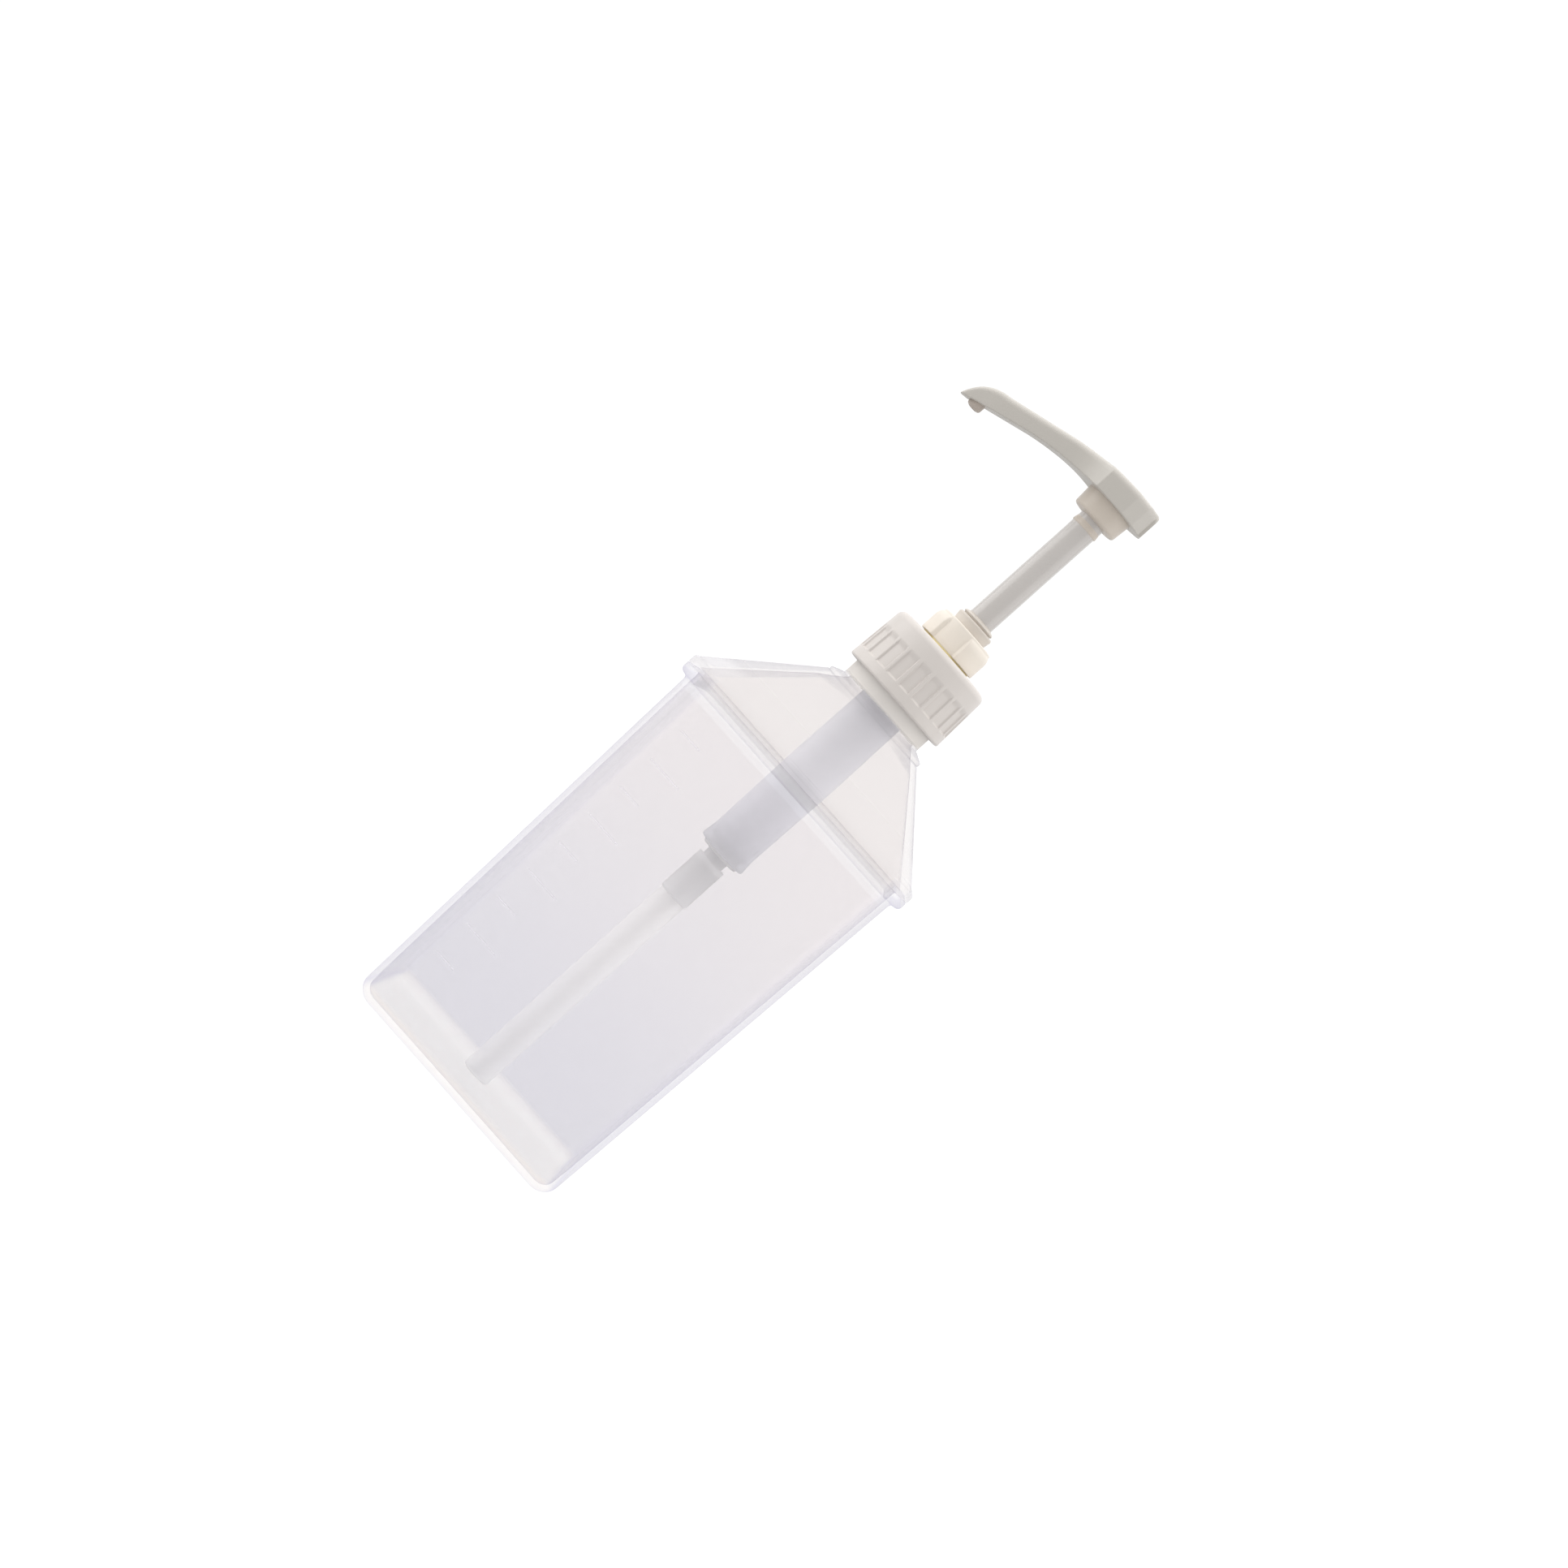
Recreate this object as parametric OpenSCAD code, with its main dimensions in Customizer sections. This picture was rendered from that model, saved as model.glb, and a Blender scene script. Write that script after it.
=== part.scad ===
// Square clear soap dispenser with a long-stroke hand pump.
// Origin: centre of the base, on the surface it stands on. +Z up, the spout
// points along -X and the graduated front faces -Y. Millimetres.

/* [Bottle] */
// Outer width of the square tub at its base
base_w = 90; // [84:0.5:96]
// Outer width of the tub just under its rim
top_w = 97; // [94:0.5:99]
// Height of the joint between the tub's rim and the hood's rim
joint_z = 148.5; // [140:0.5:155]
// Outer width of both rims
rim_w = 103; // [101:0.5:105]
// Wall thickness of the tub and the hood
wall = 2; // [1.6:0.1:2.4]
// Thickness of the floor
floor_t = 2.4; // [2:0.1:3]
// Radius of the tub's vertical corners
corner_r = 7; // [6:0.5:8]

/* [Neck and cap] */
// Height of the top of the hood, where the ring flange starts
hood_top_z = 180.25; // [176:0.25:182]
// Outer diameter of the neck under its thread
neck_d = 35.1; // [34.8:0.1:35.4]
// Outer diameter of the neck's thread
thread_d = 37.4; // [37:0.1:37.6]
// Height of the cap's lower edge
cap_z = 189.2; // [188:0.1:190]
// Height of the cap
cap_h = 22.3; // [22:0.1:24]
// Outer diameter of the cap's skirt
cap_d = 41.8; // [41.4:0.1:42.2]
// Number of grip ribs round the cap
cap_ribs = 22; // [18:1:30]

/* [Pump] */
// Outer diameter of the stem
stem_d = 8.2; // [8:0.1:8.4]
// Travel of the pump
stroke = 42; // [30:1:43]
// Bore of the pump cylinder
bore_d = 14.6; // [14.4:0.1:14.8]
// Outer diameter of the dip tube
dip_d = 9; // [8.8:0.1:9.2]
// Height of the dip tube's lower end above the base
dip_z = 5.5; // [5:0.5:9]

/* [Head] */
// Height of the head above its collar
head_h = 9.5; // [9:0.25:12]
// Distance from the stem's axis to the tip of the spout
reach = 60.3; // [58:0.1:62]
// Width of the head at the hub
hub_w = 25; // [24:0.5:27]

/* [Hidden] */

$fn = 96;
hull_fn = 32;
cut = 1;            // how far a cutting tool runs past the face that it cuts
slip = 0.05;        // radial clearance of a running or sliding fit
fit = 0.02;         // clearance between pieces that are pressed or held together

// Bottle
edge_r = 6;                                 // radius of the tub's bottom edge
draft = (top_w - base_w) / 2 / joint_z;     // how far the wall leans out per millimetre of height
rim_half = rim_w / 2;
rim_t = 3.6;                                // thickness of each rim
rim_corner_r = 10.5;
skirt_h = 4;                                // how far the hood's skirt reaches into the tub
skirt_t = 1.4;
hood_corner_r = 4.3;
hood_base_half = rim_half - 1.4;
hood_base_z = joint_z + rim_t;
hood_slope = 1.02;                          // half width lost per millimetre of height
hood_top_half = hood_base_half - (hood_top_z - hood_base_z) * hood_slope;
hood_side_t = 2.9;                          // wall of the hood, measured level
deck_t = 2;
seat_ring_t = 1.4;                          // hood's inner ring that carries the skirt
mark_step = 13;                             // 100 ml of height
mark_base_z = 2;
mark_first = 2;
mark_last = 10;
mark_x = -36;
mark_long = 13;
mark_short = 8.5;
mark_h = 0.6;
mark_t = 0.35;

// Neck
flange_r = 21.7;
flange_t = 1.6;
flange_cone_r = 18.2;                       // upper radius of the cone on the flange
flange_cone_h = 1.4;
neck_r = neck_d / 2;
neck_bore_r = 15.4;
neck_top_z = 207.6;
thread_r = thread_d / 2;
thread_pitch = 4.23;
thread_turns = 2;
thread_z = 194;
thread_sides = 24;                          // straight runs in one turn of thread
thread_root_h = 1.9;
thread_crest_h = 0.8;

// Cap
cap_r = cap_d / 2;
cap_top_r = cap_r - 0.8;
cap_round_r = 2.5;
cap_bore_r = 18.95;
cap_top_t = 2.1;
cap_top_z = cap_z + cap_h;
cap_inner_z = cap_top_z - cap_top_t;
flute_z = cap_z + 4;
flute_h = 11.3;
flute_depth = 0.6;
flute_top_r = cap_top_r + 0.3;
rib_w = 1.3;
rib_face_r = cap_r - 0.35;
rib_root_r = cap_r - 3;
spigot_r = 8.5;                             // cylinder's threaded upper end, through the cap
cap_hole_r = spigot_r + 0.1;

// Pump cylinder and what it holds
cyl_r = 9.3;
cyl_low_r = 8.9;
bore_r = bore_d / 2;
cyl_flange_r = 13.4;
cyl_flange_t = 1.8;
cyl_top_z = 219;
cyl_floor_z = 117;
cyl_bottom_z = 113.9;
liner_r = 17.3;
gasket_r = 9.75;
gasket_t = 0.8;
nut_z = cap_top_z + gasket_t;
nut_h = 9.8;
nut_r = 11.9;
nut_root_r = 10.7;
nut_edge = 0.5;                             // bevel round the nut's top
nut_lobes = 3;
nut_lobe_angle = 70;
nut_lobe_turn = 77;
nut_lobe_round = 3;                         // rounding of each lobe's top
nut_lobe_drop = 0.4;                        // how far each lobe stops below the nut's top
nut_deck_t = 2.2;
bush_r = 6.7;
bush_lip_r = 6.2;
bush_lip_h = 1.2;
bush_top_z = 227;
bush_flange_r = 8.4;
bush_tail_r = bore_r - slip;
bush_tail_z = 203.1;
wiper_r = 6.2;
wiper_z = 203.5;
wiper_h = 2.7;
wiper_t = 1.1;
wiper_lip_h = 0.8;
stem_r = stem_d / 2;
stem_bore_r = 1.9;
stem_hole_r = stem_r + slip;

// Valve housing, foot valve and dip tube
socket_r = 5.15;
socket_z = 109.3;
connector_r = 5.2;
connector_low_r = 4.9;
connector_z = 93;
housing_plug_r = 6.2;
housing_flange_r = 6.8;
housing_flange_t = 0.8;
dip_r = dip_d / 2;
dip_bore_r = 3.4;
dip_top_z = 107;
inlet_hole_r = 1.9;
inlet_chamber_r = 3.2;
inlet_ball_r = 2.6;
inlet_seat_z = 109.9;
seat_z = cyl_floor_z;
seat_t = 1.6;
seat_r = bore_r - slip;
seat_holes = 4;
seat_hole_r = 1.1;
seat_hole_x = 2.6;
valve_lift = 1.5;

// Piston, at the top of its travel
piston_z = 191;
piston_h = 12;
piston_r = 6.4;
piston_hole_r = 1.5;
seal_z = piston_z + 4;
seal_h = 5.2;
seal_r = bore_r - slip;
seal_seat_r = 4.9;
seal_waist = 0.5;                           // how far the seal's waist lies inside its lips
seal_lip_h = 0.8;
outlet_ball_r = 2.2;
outlet_chamber_r = 2.8;
outlet_seat_z = piston_z + 1.6;
stem_z = outlet_seat_z + 2 * outlet_ball_r + valve_lift;

// Spring
spring_z = seat_z + seat_t;
spring_top_z = piston_z - 0.1;
spring_r = 5.6;
spring_wire_r = 0.5;
spring_turns = 12;
spring_step = 30;                           // degrees between two rings of the coil
spring_sides = 6;

// Head
press_gap = 4;                              // left between ferrule and bushing when pressed
ferrule_z = bush_top_z + stroke + press_gap;
ferrule_h = 4.3;
ferrule_r = 4.6;
ferrule_low_r = 4.35;
collar_z = ferrule_z + ferrule_h;
collar_r = 8.8;
collar_h = 6.7;
head_low_z = collar_z + collar_h;
stem_top_z = head_low_z + 3;
duct_r = 1.4;
duct_z = head_low_z + 5.2;
nozzle_x = 6.3 - reach;
nozzle_r = 2.1;
nozzle_z = head_low_z - 11.2;
nozzle_bore_r = 1.4;
nozzle_len = 4.4;
duct_end_z = nozzle_z + nozzle_len + 2;
duct_angle = atan((duct_z - duct_end_z) / nozzle_x);
head_rear_x = 14.3;
head_rear_edge = 1.8;
spout_half = 5.3;                           // half width of the spout where its flare starts
flare_r = 20;                               // hollow curve from the spout's side to the hub
flare_x = -24;
flare_angle = 50;
flare_steps = 5;

// Point on a cubic curve between a and d, pulled towards b and c
function curve_point(a, b, c, d, t) =
    pow(1 - t, 3) * a + 3 * pow(1 - t, 2) * t * b + 3 * (1 - t) * t * t * c + t * t * t * d;
function curve(a, b, c, d, steps) = [for (i = [0 : steps]) curve_point(a, b, c, d, i / steps)];

// Height of a resting ball's centre above the sharp edge of its hole
function seated(ball_r, hole_r) = sqrt(ball_r * ball_r - hole_r * hole_r);

// Half width of the tub's outside at a height
function tub_half(z) = base_w / 2 + draft * z;
skirt_half = tub_half(joint_z - skirt_h) - wall - slip;

// Places shapes at the four corners of a square
module four_corners(half) {
    for (sx = [-1, 1]) {
        for (sy = [-1, 1]) {
            translate([sx * half, sy * half, 0]) children();
        }
    }
}

// Drafted square block with round corners and a round bottom edge
module tub_block(inset, low_z, high_z, round_r, side_r) {
    hull() {
        translate([0, 0, low_z + round_r])
            four_corners(tub_half(low_z) - inset - round_r) sphere(r = round_r, $fn = hull_fn);
        translate([0, 0, high_z - 0.1])
            four_corners(tub_half(high_z) - inset - side_r) cylinder(r = side_r, h = 0.1, $fn = hull_fn);
    }
}

// Square pyramid frustum with round corners
module pyramid_block(low_half, low_z, high_half, high_z, round_r) {
    hull() {
        translate([0, 0, low_z])
            four_corners(low_half - round_r) cylinder(r = round_r, h = 0.1, $fn = hull_fn);
        translate([0, 0, high_z - 0.1])
            four_corners(high_half - round_r) cylinder(r = round_r, h = 0.1, $fn = hull_fn);
    }
}

// Square rim with a rounded outer edge, between two heights
module rim_block(half, low_z, high_z) {
    edge = (high_z - low_z) / 2;
    translate([0, 0, low_z + edge])
        hull() four_corners(half - rim_corner_r)
            rotate_extrude($fn = hull_fn) translate([rim_corner_r - edge, 0]) circle(r = edge, $fn = 16);
}

// Round tube
module tube(outer, inner, low_z, high_z) {
    translate([0, 0, low_z]) difference() {
        cylinder(r = outer, h = high_z - low_z);
        translate([0, 0, -cut]) cylinder(r = inner, h = high_z - low_z + 2 * cut);
    }
}

module graduation_marks() {
    for (i = [mark_first : mark_last]) {
        z = mark_base_z + i * mark_step;
        long = i % 2 == 0 ? mark_short : mark_long;
        translate([mark_x, -tub_half(z) - mark_t, z]) cube([long, mark_t + cut, mark_h]);
    }
}

module bottle_body() {
    color([0.86, 0.86, 0.92, 0.45]) difference() {
        union() {
            tub_block(0, 0, joint_z, edge_r, corner_r);
            rim_block(rim_half, joint_z - rim_t, joint_z);
            graduation_marks();
        }
        tub_block(wall, floor_t, joint_z + cut, edge_r - wall, corner_r - wall);
    }
}

// Square outline with round corners
module round_square(half, round_r) {
    square([2 * half, 2 * (half - round_r)], center = true);
    square([2 * (half - round_r), 2 * half], center = true);
    for (sx = [-1, 1]) {
        for (sy = [-1, 1]) {
            translate([sx * (half - round_r), sy * (half - round_r)]) circle(r = round_r);
        }
    }
}

// Ring that reaches down into the mouth of the tub
module hood_skirt() {
    translate([0, 0, joint_z - skirt_h]) linear_extrude(skirt_h + 1) difference() {
        round_square(skirt_half, corner_r - wall);
        round_square(skirt_half - skirt_t, corner_r - wall - skirt_t);
    }
}

// Helical ridge, as a chain of slices that share their end faces
module neck_thread() {
    steps = thread_turns * thread_sides;
    rings = [for (i = [0 : steps])
        let (a = i * 360 / thread_sides, z = thread_z + i * thread_pitch / thread_sides)
        [[neck_r - 0.3, z - thread_root_h / 2], [thread_r, z - thread_crest_h / 2],
         [thread_r, z + thread_crest_h / 2], [neck_r - 0.3, z + thread_root_h / 2]]];
    points = [for (i = [0 : steps]) for (p = rings[i])
        [p[0] * cos(i * 360 / thread_sides), p[0] * sin(i * 360 / thread_sides), p[1]]];
    sides = [for (i = [0 : steps - 1]) for (k = [0 : 3])
        [4 * i + k, 4 * i + (k + 1) % 4, 4 * i + 4 + (k + 1) % 4, 4 * i + 4 + k]];
    polyhedron(points, concat([[3, 2, 1, 0]], sides, [[for (k = [0 : 3]) 4 * steps + k]]));
}

module bottle_shoulder() {
    inner_half = hood_base_half - hood_side_t;
    inner_top_z = hood_top_z - deck_t;
    inner_top_half = inner_half - (inner_top_z - hood_base_z) * hood_slope;
    color([0.88, 0.87, 0.90, 0.45]) union() {
        difference() {
            union() {
                rim_block(rim_half, joint_z, joint_z + rim_t);
                pyramid_block(hood_base_half, hood_base_z - 0.1, hood_top_half, hood_top_z, hood_corner_r);
                translate([0, 0, hood_top_z - 0.1]) cylinder(r = flange_r, h = flange_t + 0.1);
                translate([0, 0, hood_top_z + flange_t])
                    cylinder(r1 = flange_r - 0.5, r2 = flange_cone_r, h = flange_cone_h);
                translate([0, 0, hood_top_z]) cylinder(r = neck_r, h = neck_top_z - hood_top_z);
            }
            translate([0, 0, joint_z - cut]) linear_extrude(seat_ring_t + 2 * cut)
                round_square(skirt_half - skirt_t, corner_r - wall - skirt_t);
            pyramid_block(inner_half, joint_z + seat_ring_t, inner_top_half, inner_top_z, hood_corner_r - 1);
            translate([0, 0, inner_top_z - cut])
                cylinder(r = neck_bore_r, h = neck_top_z - inner_top_z + 2 * cut);
        }
        hood_skirt();
        neck_thread();
    }
}

module screw_cap() {
    color([0.91, 0.90, 0.87]) difference() {
        union() {
            rotate_extrude() polygon(concat(
                [[0, cap_z], [cap_r, cap_z], [cap_r, flute_z], [cap_r - flute_depth, flute_z],
                 [flute_top_r - flute_depth, flute_z + flute_h], [flute_top_r, flute_z + flute_h]],
                [for (i = [0 : 8]) [cap_top_r - cap_round_r + cap_round_r * cos(i * 90 / 8),
                                    cap_top_z - cap_round_r + cap_round_r * sin(i * 90 / 8)]],
                [[0, cap_top_z]]));
            for (i = [0 : cap_ribs - 1]) {
                rotate([0, 0, (i + 0.5) * 360 / cap_ribs])
                    translate([rib_root_r, -rib_w / 2, flute_z - cut / 2])
                        cube([rib_face_r - rib_root_r, rib_w, flute_h + cut]);
            }
        }
        translate([0, 0, cap_z - cut]) cylinder(r = cap_bore_r, h = cap_inner_z - cap_z + cut);
        translate([0, 0, cap_inner_z - cut]) cylinder(r = cap_hole_r, h = cap_top_t + 2 * cut);
    }
}

module cap_liner() {
    color([0.85, 0.83, 0.78]) tube(liner_r, cyl_flange_r + 0.1, neck_top_z + fit, cap_inner_z - fit);
}

module nut_gasket() {
    color([0.91, 0.84, 0.55]) tube(gasket_r, spigot_r + slip, cap_top_z, nut_z);
}

// Wedges that cut the lobes out of a round blank
module nut_lobe_wedges() {
    out = 2 * nut_r;
    half_w = out * tan(nut_lobe_angle / 2);
    for (i = [0 : nut_lobes - 1]) {
        rotate([0, 0, nut_lobe_turn + i * 360 / nut_lobes])
            translate([0, 0, nut_z]) linear_extrude(nut_h)
                polygon([[0, 0], [out, -half_w], [out, half_w]]);
    }
}

module lock_nut() {
    top_z = nut_z + nut_h;
    round_z = top_z - nut_lobe_drop - nut_lobe_round;
    color([0.90, 0.87, 0.82]) difference() {
        union() {
            rotate_extrude() polygon([
                [0, nut_z], [nut_root_r, nut_z], [nut_root_r, top_z - nut_edge],
                [nut_root_r - nut_edge, top_z], [0, top_z]]);
            intersection() {
                rotate_extrude() polygon(concat(
                    [[0, nut_z], [nut_r, nut_z]],
                    [for (a = [0 : 15 : 90]) [nut_r - nut_lobe_round * (1 - cos(a)),
                                              round_z + nut_lobe_round * sin(a)]],
                    [[0, round_z + nut_lobe_round]]));
                nut_lobe_wedges();
            }
        }
        translate([0, 0, nut_z - cut]) cylinder(r = spigot_r + slip, h = nut_h - nut_deck_t + cut);
        translate([0, 0, nut_z]) cylinder(r = bush_r + fit, h = nut_h + cut);
    }
}

module guide_bushing() {
    flange_z = cyl_top_z + fit;
    deck_z = nut_z + nut_h - nut_deck_t - fit;
    color([0.91, 0.89, 0.85]) difference() {
        rotate_extrude() polygon([
            [0, bush_tail_z], [bush_tail_r, bush_tail_z], [bush_tail_r, flange_z], [bush_flange_r, flange_z],
            [bush_flange_r, deck_z], [bush_r, deck_z], [bush_r, bush_top_z - bush_lip_h - 0.4],
            [bush_lip_r, bush_top_z - bush_lip_h], [bush_lip_r - 0.2, bush_top_z], [0, bush_top_z]]);
        translate([0, 0, bush_tail_z - cut]) {
            cylinder(r = stem_hole_r, h = bush_top_z - bush_tail_z + 2 * cut);
            cylinder(r = wiper_r, h = wiper_z + wiper_h - bush_tail_z + cut);
        }
    }
}

module stem_wiper() {
    color([0.35, 0.36, 0.38]) rotate_extrude() polygon([
        [stem_hole_r, wiper_z], [wiper_r - fit, wiper_z], [wiper_r - fit, wiper_z + wiper_h - fit],
        [stem_r + wiper_t, wiper_z + wiper_h - fit], [stem_hole_r, wiper_z + wiper_lip_h]]);
}

module pump_cylinder() {
    color([0.87, 0.88, 0.93, 0.9]) difference() {
        union() {
            rotate_extrude() polygon([
                [0, cyl_bottom_z], [cyl_low_r, cyl_bottom_z], [cyl_low_r, cyl_bottom_z + 5],
                [cyl_r, cyl_bottom_z + 40], [cyl_r, cap_inner_z], [0, cap_inner_z]]);
            translate([0, 0, cap_inner_z - cyl_flange_t]) cylinder(r = cyl_flange_r, h = cyl_flange_t - fit);
            translate([0, 0, cap_inner_z - cut]) cylinder(r = spigot_r, h = cyl_top_z - cap_inner_z + cut);
        }
        translate([0, 0, cyl_floor_z]) cylinder(r = bore_r, h = cyl_top_z - cyl_floor_z + cut);
        translate([0, 0, cyl_bottom_z - cut])
            cylinder(r = housing_plug_r, h = cyl_floor_z - cyl_bottom_z + 2 * cut);
    }
}

module valve_housing() {
    color([0.86, 0.87, 0.90]) difference() {
        union() {
            translate([0, 0, cyl_bottom_z])
                cylinder(r = housing_plug_r - slip, h = cyl_floor_z - cyl_bottom_z);
            translate([0, 0, cyl_bottom_z - housing_flange_t])
                cylinder(r = housing_flange_r, h = housing_flange_t - fit);
            translate([0, 0, socket_z]) cylinder(r = socket_r, h = cyl_bottom_z - socket_z);
            translate([0, 0, connector_z])
                cylinder(r1 = connector_low_r, r2 = connector_r, h = socket_z - connector_z + 0.1);
        }
        translate([0, 0, inlet_seat_z]) cylinder(r = inlet_chamber_r, h = cyl_floor_z - inlet_seat_z + cut);
        translate([0, 0, connector_z]) cylinder(r = inlet_hole_r, h = inlet_seat_z - connector_z + cut);
        translate([0, 0, connector_z - cut]) cylinder(r = dip_r + fit, h = dip_top_z - connector_z + cut);
    }
}

module dip_tube() {
    color([0.89, 0.88, 0.88]) tube(dip_r, dip_bore_r, dip_z, dip_top_z - fit);
}

module spring_seat() {
    color([0.82, 0.83, 0.85]) difference() {
        translate([0, 0, seat_z + fit]) cylinder(r = seat_r, h = seat_t - 2 * fit);
        for (i = [0 : seat_holes - 1]) {
            rotate([0, 0, i * 360 / seat_holes])
                translate([seat_hole_x, 0, seat_z - cut]) cylinder(r = seat_hole_r, h = seat_t + 2 * cut);
        }
    }
}

module inlet_ball() {
    color([0.75, 0.76, 0.78])
        translate([0, 0, inlet_seat_z + seated(inlet_ball_r, inlet_hole_r) + fit]) sphere(r = inlet_ball_r);
}

// Compression spring: a round wire swept along a helix
module return_spring() {
    steps = spring_turns * 360 / spring_step;
    rise = (spring_top_z - spring_z - 2 * spring_wire_r) / steps;
    points = [for (i = [0 : steps]) for (k = [0 : spring_sides - 1])
        let (a = i * spring_step, b = k * 360 / spring_sides, r = spring_r + spring_wire_r * cos(b))
        [r * cos(a), r * sin(a), spring_z + spring_wire_r + i * rise + spring_wire_r * sin(b)]];
    sides = [for (i = [0 : steps - 1]) for (k = [0 : spring_sides - 1])
        let (a = i * spring_sides, n = (k + 1) % spring_sides)
        [a + k, a + n, a + spring_sides + n, a + spring_sides + k]];
    ends = [[for (k = [spring_sides - 1 : -1 : 0]) k],
            [for (k = [0 : spring_sides - 1]) steps * spring_sides + k]];
    color([0.78, 0.79, 0.80]) polyhedron(points, concat(sides, ends));
}

module piston_seal() {
    waist_r = seal_r - seal_waist;
    top_z = seal_z + seal_h;
    color([0.30, 0.31, 0.33]) rotate_extrude() polygon([
        [seal_seat_r + fit, seal_z], [waist_r, seal_z], [seal_r, seal_z + seal_lip_h],
        [waist_r, seal_z + 2 * seal_lip_h], [waist_r, top_z - 2 * seal_lip_h],
        [seal_r, top_z - seal_lip_h], [waist_r, top_z], [seal_seat_r + fit, top_z]]);
}

module piston_seat() {
    color([0.84, 0.85, 0.86]) difference() {
        rotate_extrude() polygon([
            [0, piston_z], [piston_r, piston_z], [piston_r, seal_z - fit], [seal_seat_r, seal_z - fit],
            [seal_seat_r, seal_z + seal_h + fit], [piston_r, seal_z + seal_h + fit],
            [piston_r, piston_z + piston_h], [0, piston_z + piston_h]]);
        translate([0, 0, piston_z - cut]) cylinder(r = piston_hole_r, h = piston_h + 2 * cut);
        translate([0, 0, outlet_seat_z]) cylinder(r = outlet_chamber_r, h = piston_h);
        translate([0, 0, stem_z - fit]) cylinder(r = stem_r + fit, h = piston_h);
    }
}

module outlet_ball() {
    color([0.75, 0.76, 0.78])
        translate([0, 0, outlet_seat_z + seated(outlet_ball_r, piston_hole_r) + fit])
            sphere(r = outlet_ball_r);
}

module stem() {
    color([0.84, 0.83, 0.81]) tube(stem_r, stem_bore_r, stem_z, stem_top_z);
}

module stem_ferrule() {
    color([0.83, 0.80, 0.76]) difference() {
        translate([0, 0, ferrule_z])
            cylinder(r1 = ferrule_low_r, r2 = ferrule_r, h = ferrule_h - fit);
        translate([0, 0, ferrule_z - cut]) cylinder(r = stem_r + fit, h = ferrule_h + 2 * cut);
    }
}

module hub_collar() {
    color([0.77, 0.74, 0.69]) tube(collar_r, stem_r + fit, collar_z, head_low_z - fit);
}

// Side outline of the head, with heights above its lower edge: underside, nose, top
function head_side() = concat(
    [[head_rear_x, 0]],
    curve([-collar_r - 0.2, 0], [-18, 0], [-26, -1.2], [-35, -3.6], 8),
    curve([-reach, -11.3], [-58.6, -5.4], [-54.8, -1.4], [-47.5, -0.3], 8),
    curve([-22, head_h - 2.6], [-15, head_h - 1.1], [-8, head_h - 0.3], [3, head_h], 8),
    [[head_rear_x - head_rear_edge, head_h], [head_rear_x, head_h - head_rear_edge]]);

// Half of the head's outline from above, from the nose to the rear
function head_half_plan() = concat(
    [[-reach, 1.9]],
    curve([-59.5, 3], [-57, 4.2], [-50, 4.6], [-36, 4.9], 6),
    [for (a = [0 : flare_angle / flare_steps : flare_angle])
        [flare_x + flare_r * sin(a), spout_half + flare_r * (1 - cos(a))]],
    [[-7.2, hub_w / 2], [4.9, hub_w / 2], [9.4, hub_w / 2 - 3.2], [head_rear_x, 6]]);

module spout_head() {
    half = head_half_plan();
    n = len(half);
    color([0.82, 0.80, 0.77]) difference() {
        intersection() {
            translate([0, hub_w, head_low_z]) rotate([90, 0, 0])
                linear_extrude(2 * hub_w) polygon(head_side());
            translate([0, 0, nozzle_z]) linear_extrude(2 * reach) polygon(concat(
                half, [for (i = [n - 1 : -1 : 0]) [half[i][0], -half[i][1]]]));
        }
        translate([0, 0, head_low_z - cut])
            cylinder(r = stem_r + fit, h = stem_top_z - head_low_z + cut + fit);
        translate([0, 0, stem_top_z]) cylinder(r = stem_bore_r, h = duct_z + 1 - stem_top_z);
        translate([0, 0, duct_z]) rotate([0, duct_angle - 90, 0])
            cylinder(r = duct_r, h = -nozzle_x / cos(duct_angle));
        translate([nozzle_x, 0, nozzle_z]) {
            cylinder(r = nozzle_r + fit, h = nozzle_len + fit);
            cylinder(r = duct_r, h = duct_end_z - nozzle_z);
        }
    }
}

module nozzle_tip() {
    color([0.55, 0.52, 0.49])
        translate([nozzle_x, 0, 0]) tube(nozzle_r, nozzle_bore_r, nozzle_z, nozzle_z + nozzle_len);
}

bottle_body();
bottle_shoulder();
screw_cap();
cap_liner();
nut_gasket();
lock_nut();
guide_bushing();
stem_wiper();
pump_cylinder();
valve_housing();
dip_tube();
spring_seat();
inlet_ball();
return_spring();
piston_seal();
piston_seat();
outlet_ball();
stem();
stem_ferrule();
hub_collar();
spout_head();
nozzle_tip();
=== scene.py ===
"""Looks of the square soap dispenser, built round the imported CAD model.

Shapes are given in millimetres, in the frame of the model: +Z up, the spout along -X, the
graduated front towards -Y.
"""
import math

import bpy
from mathutils import Matrix, Vector


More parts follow.
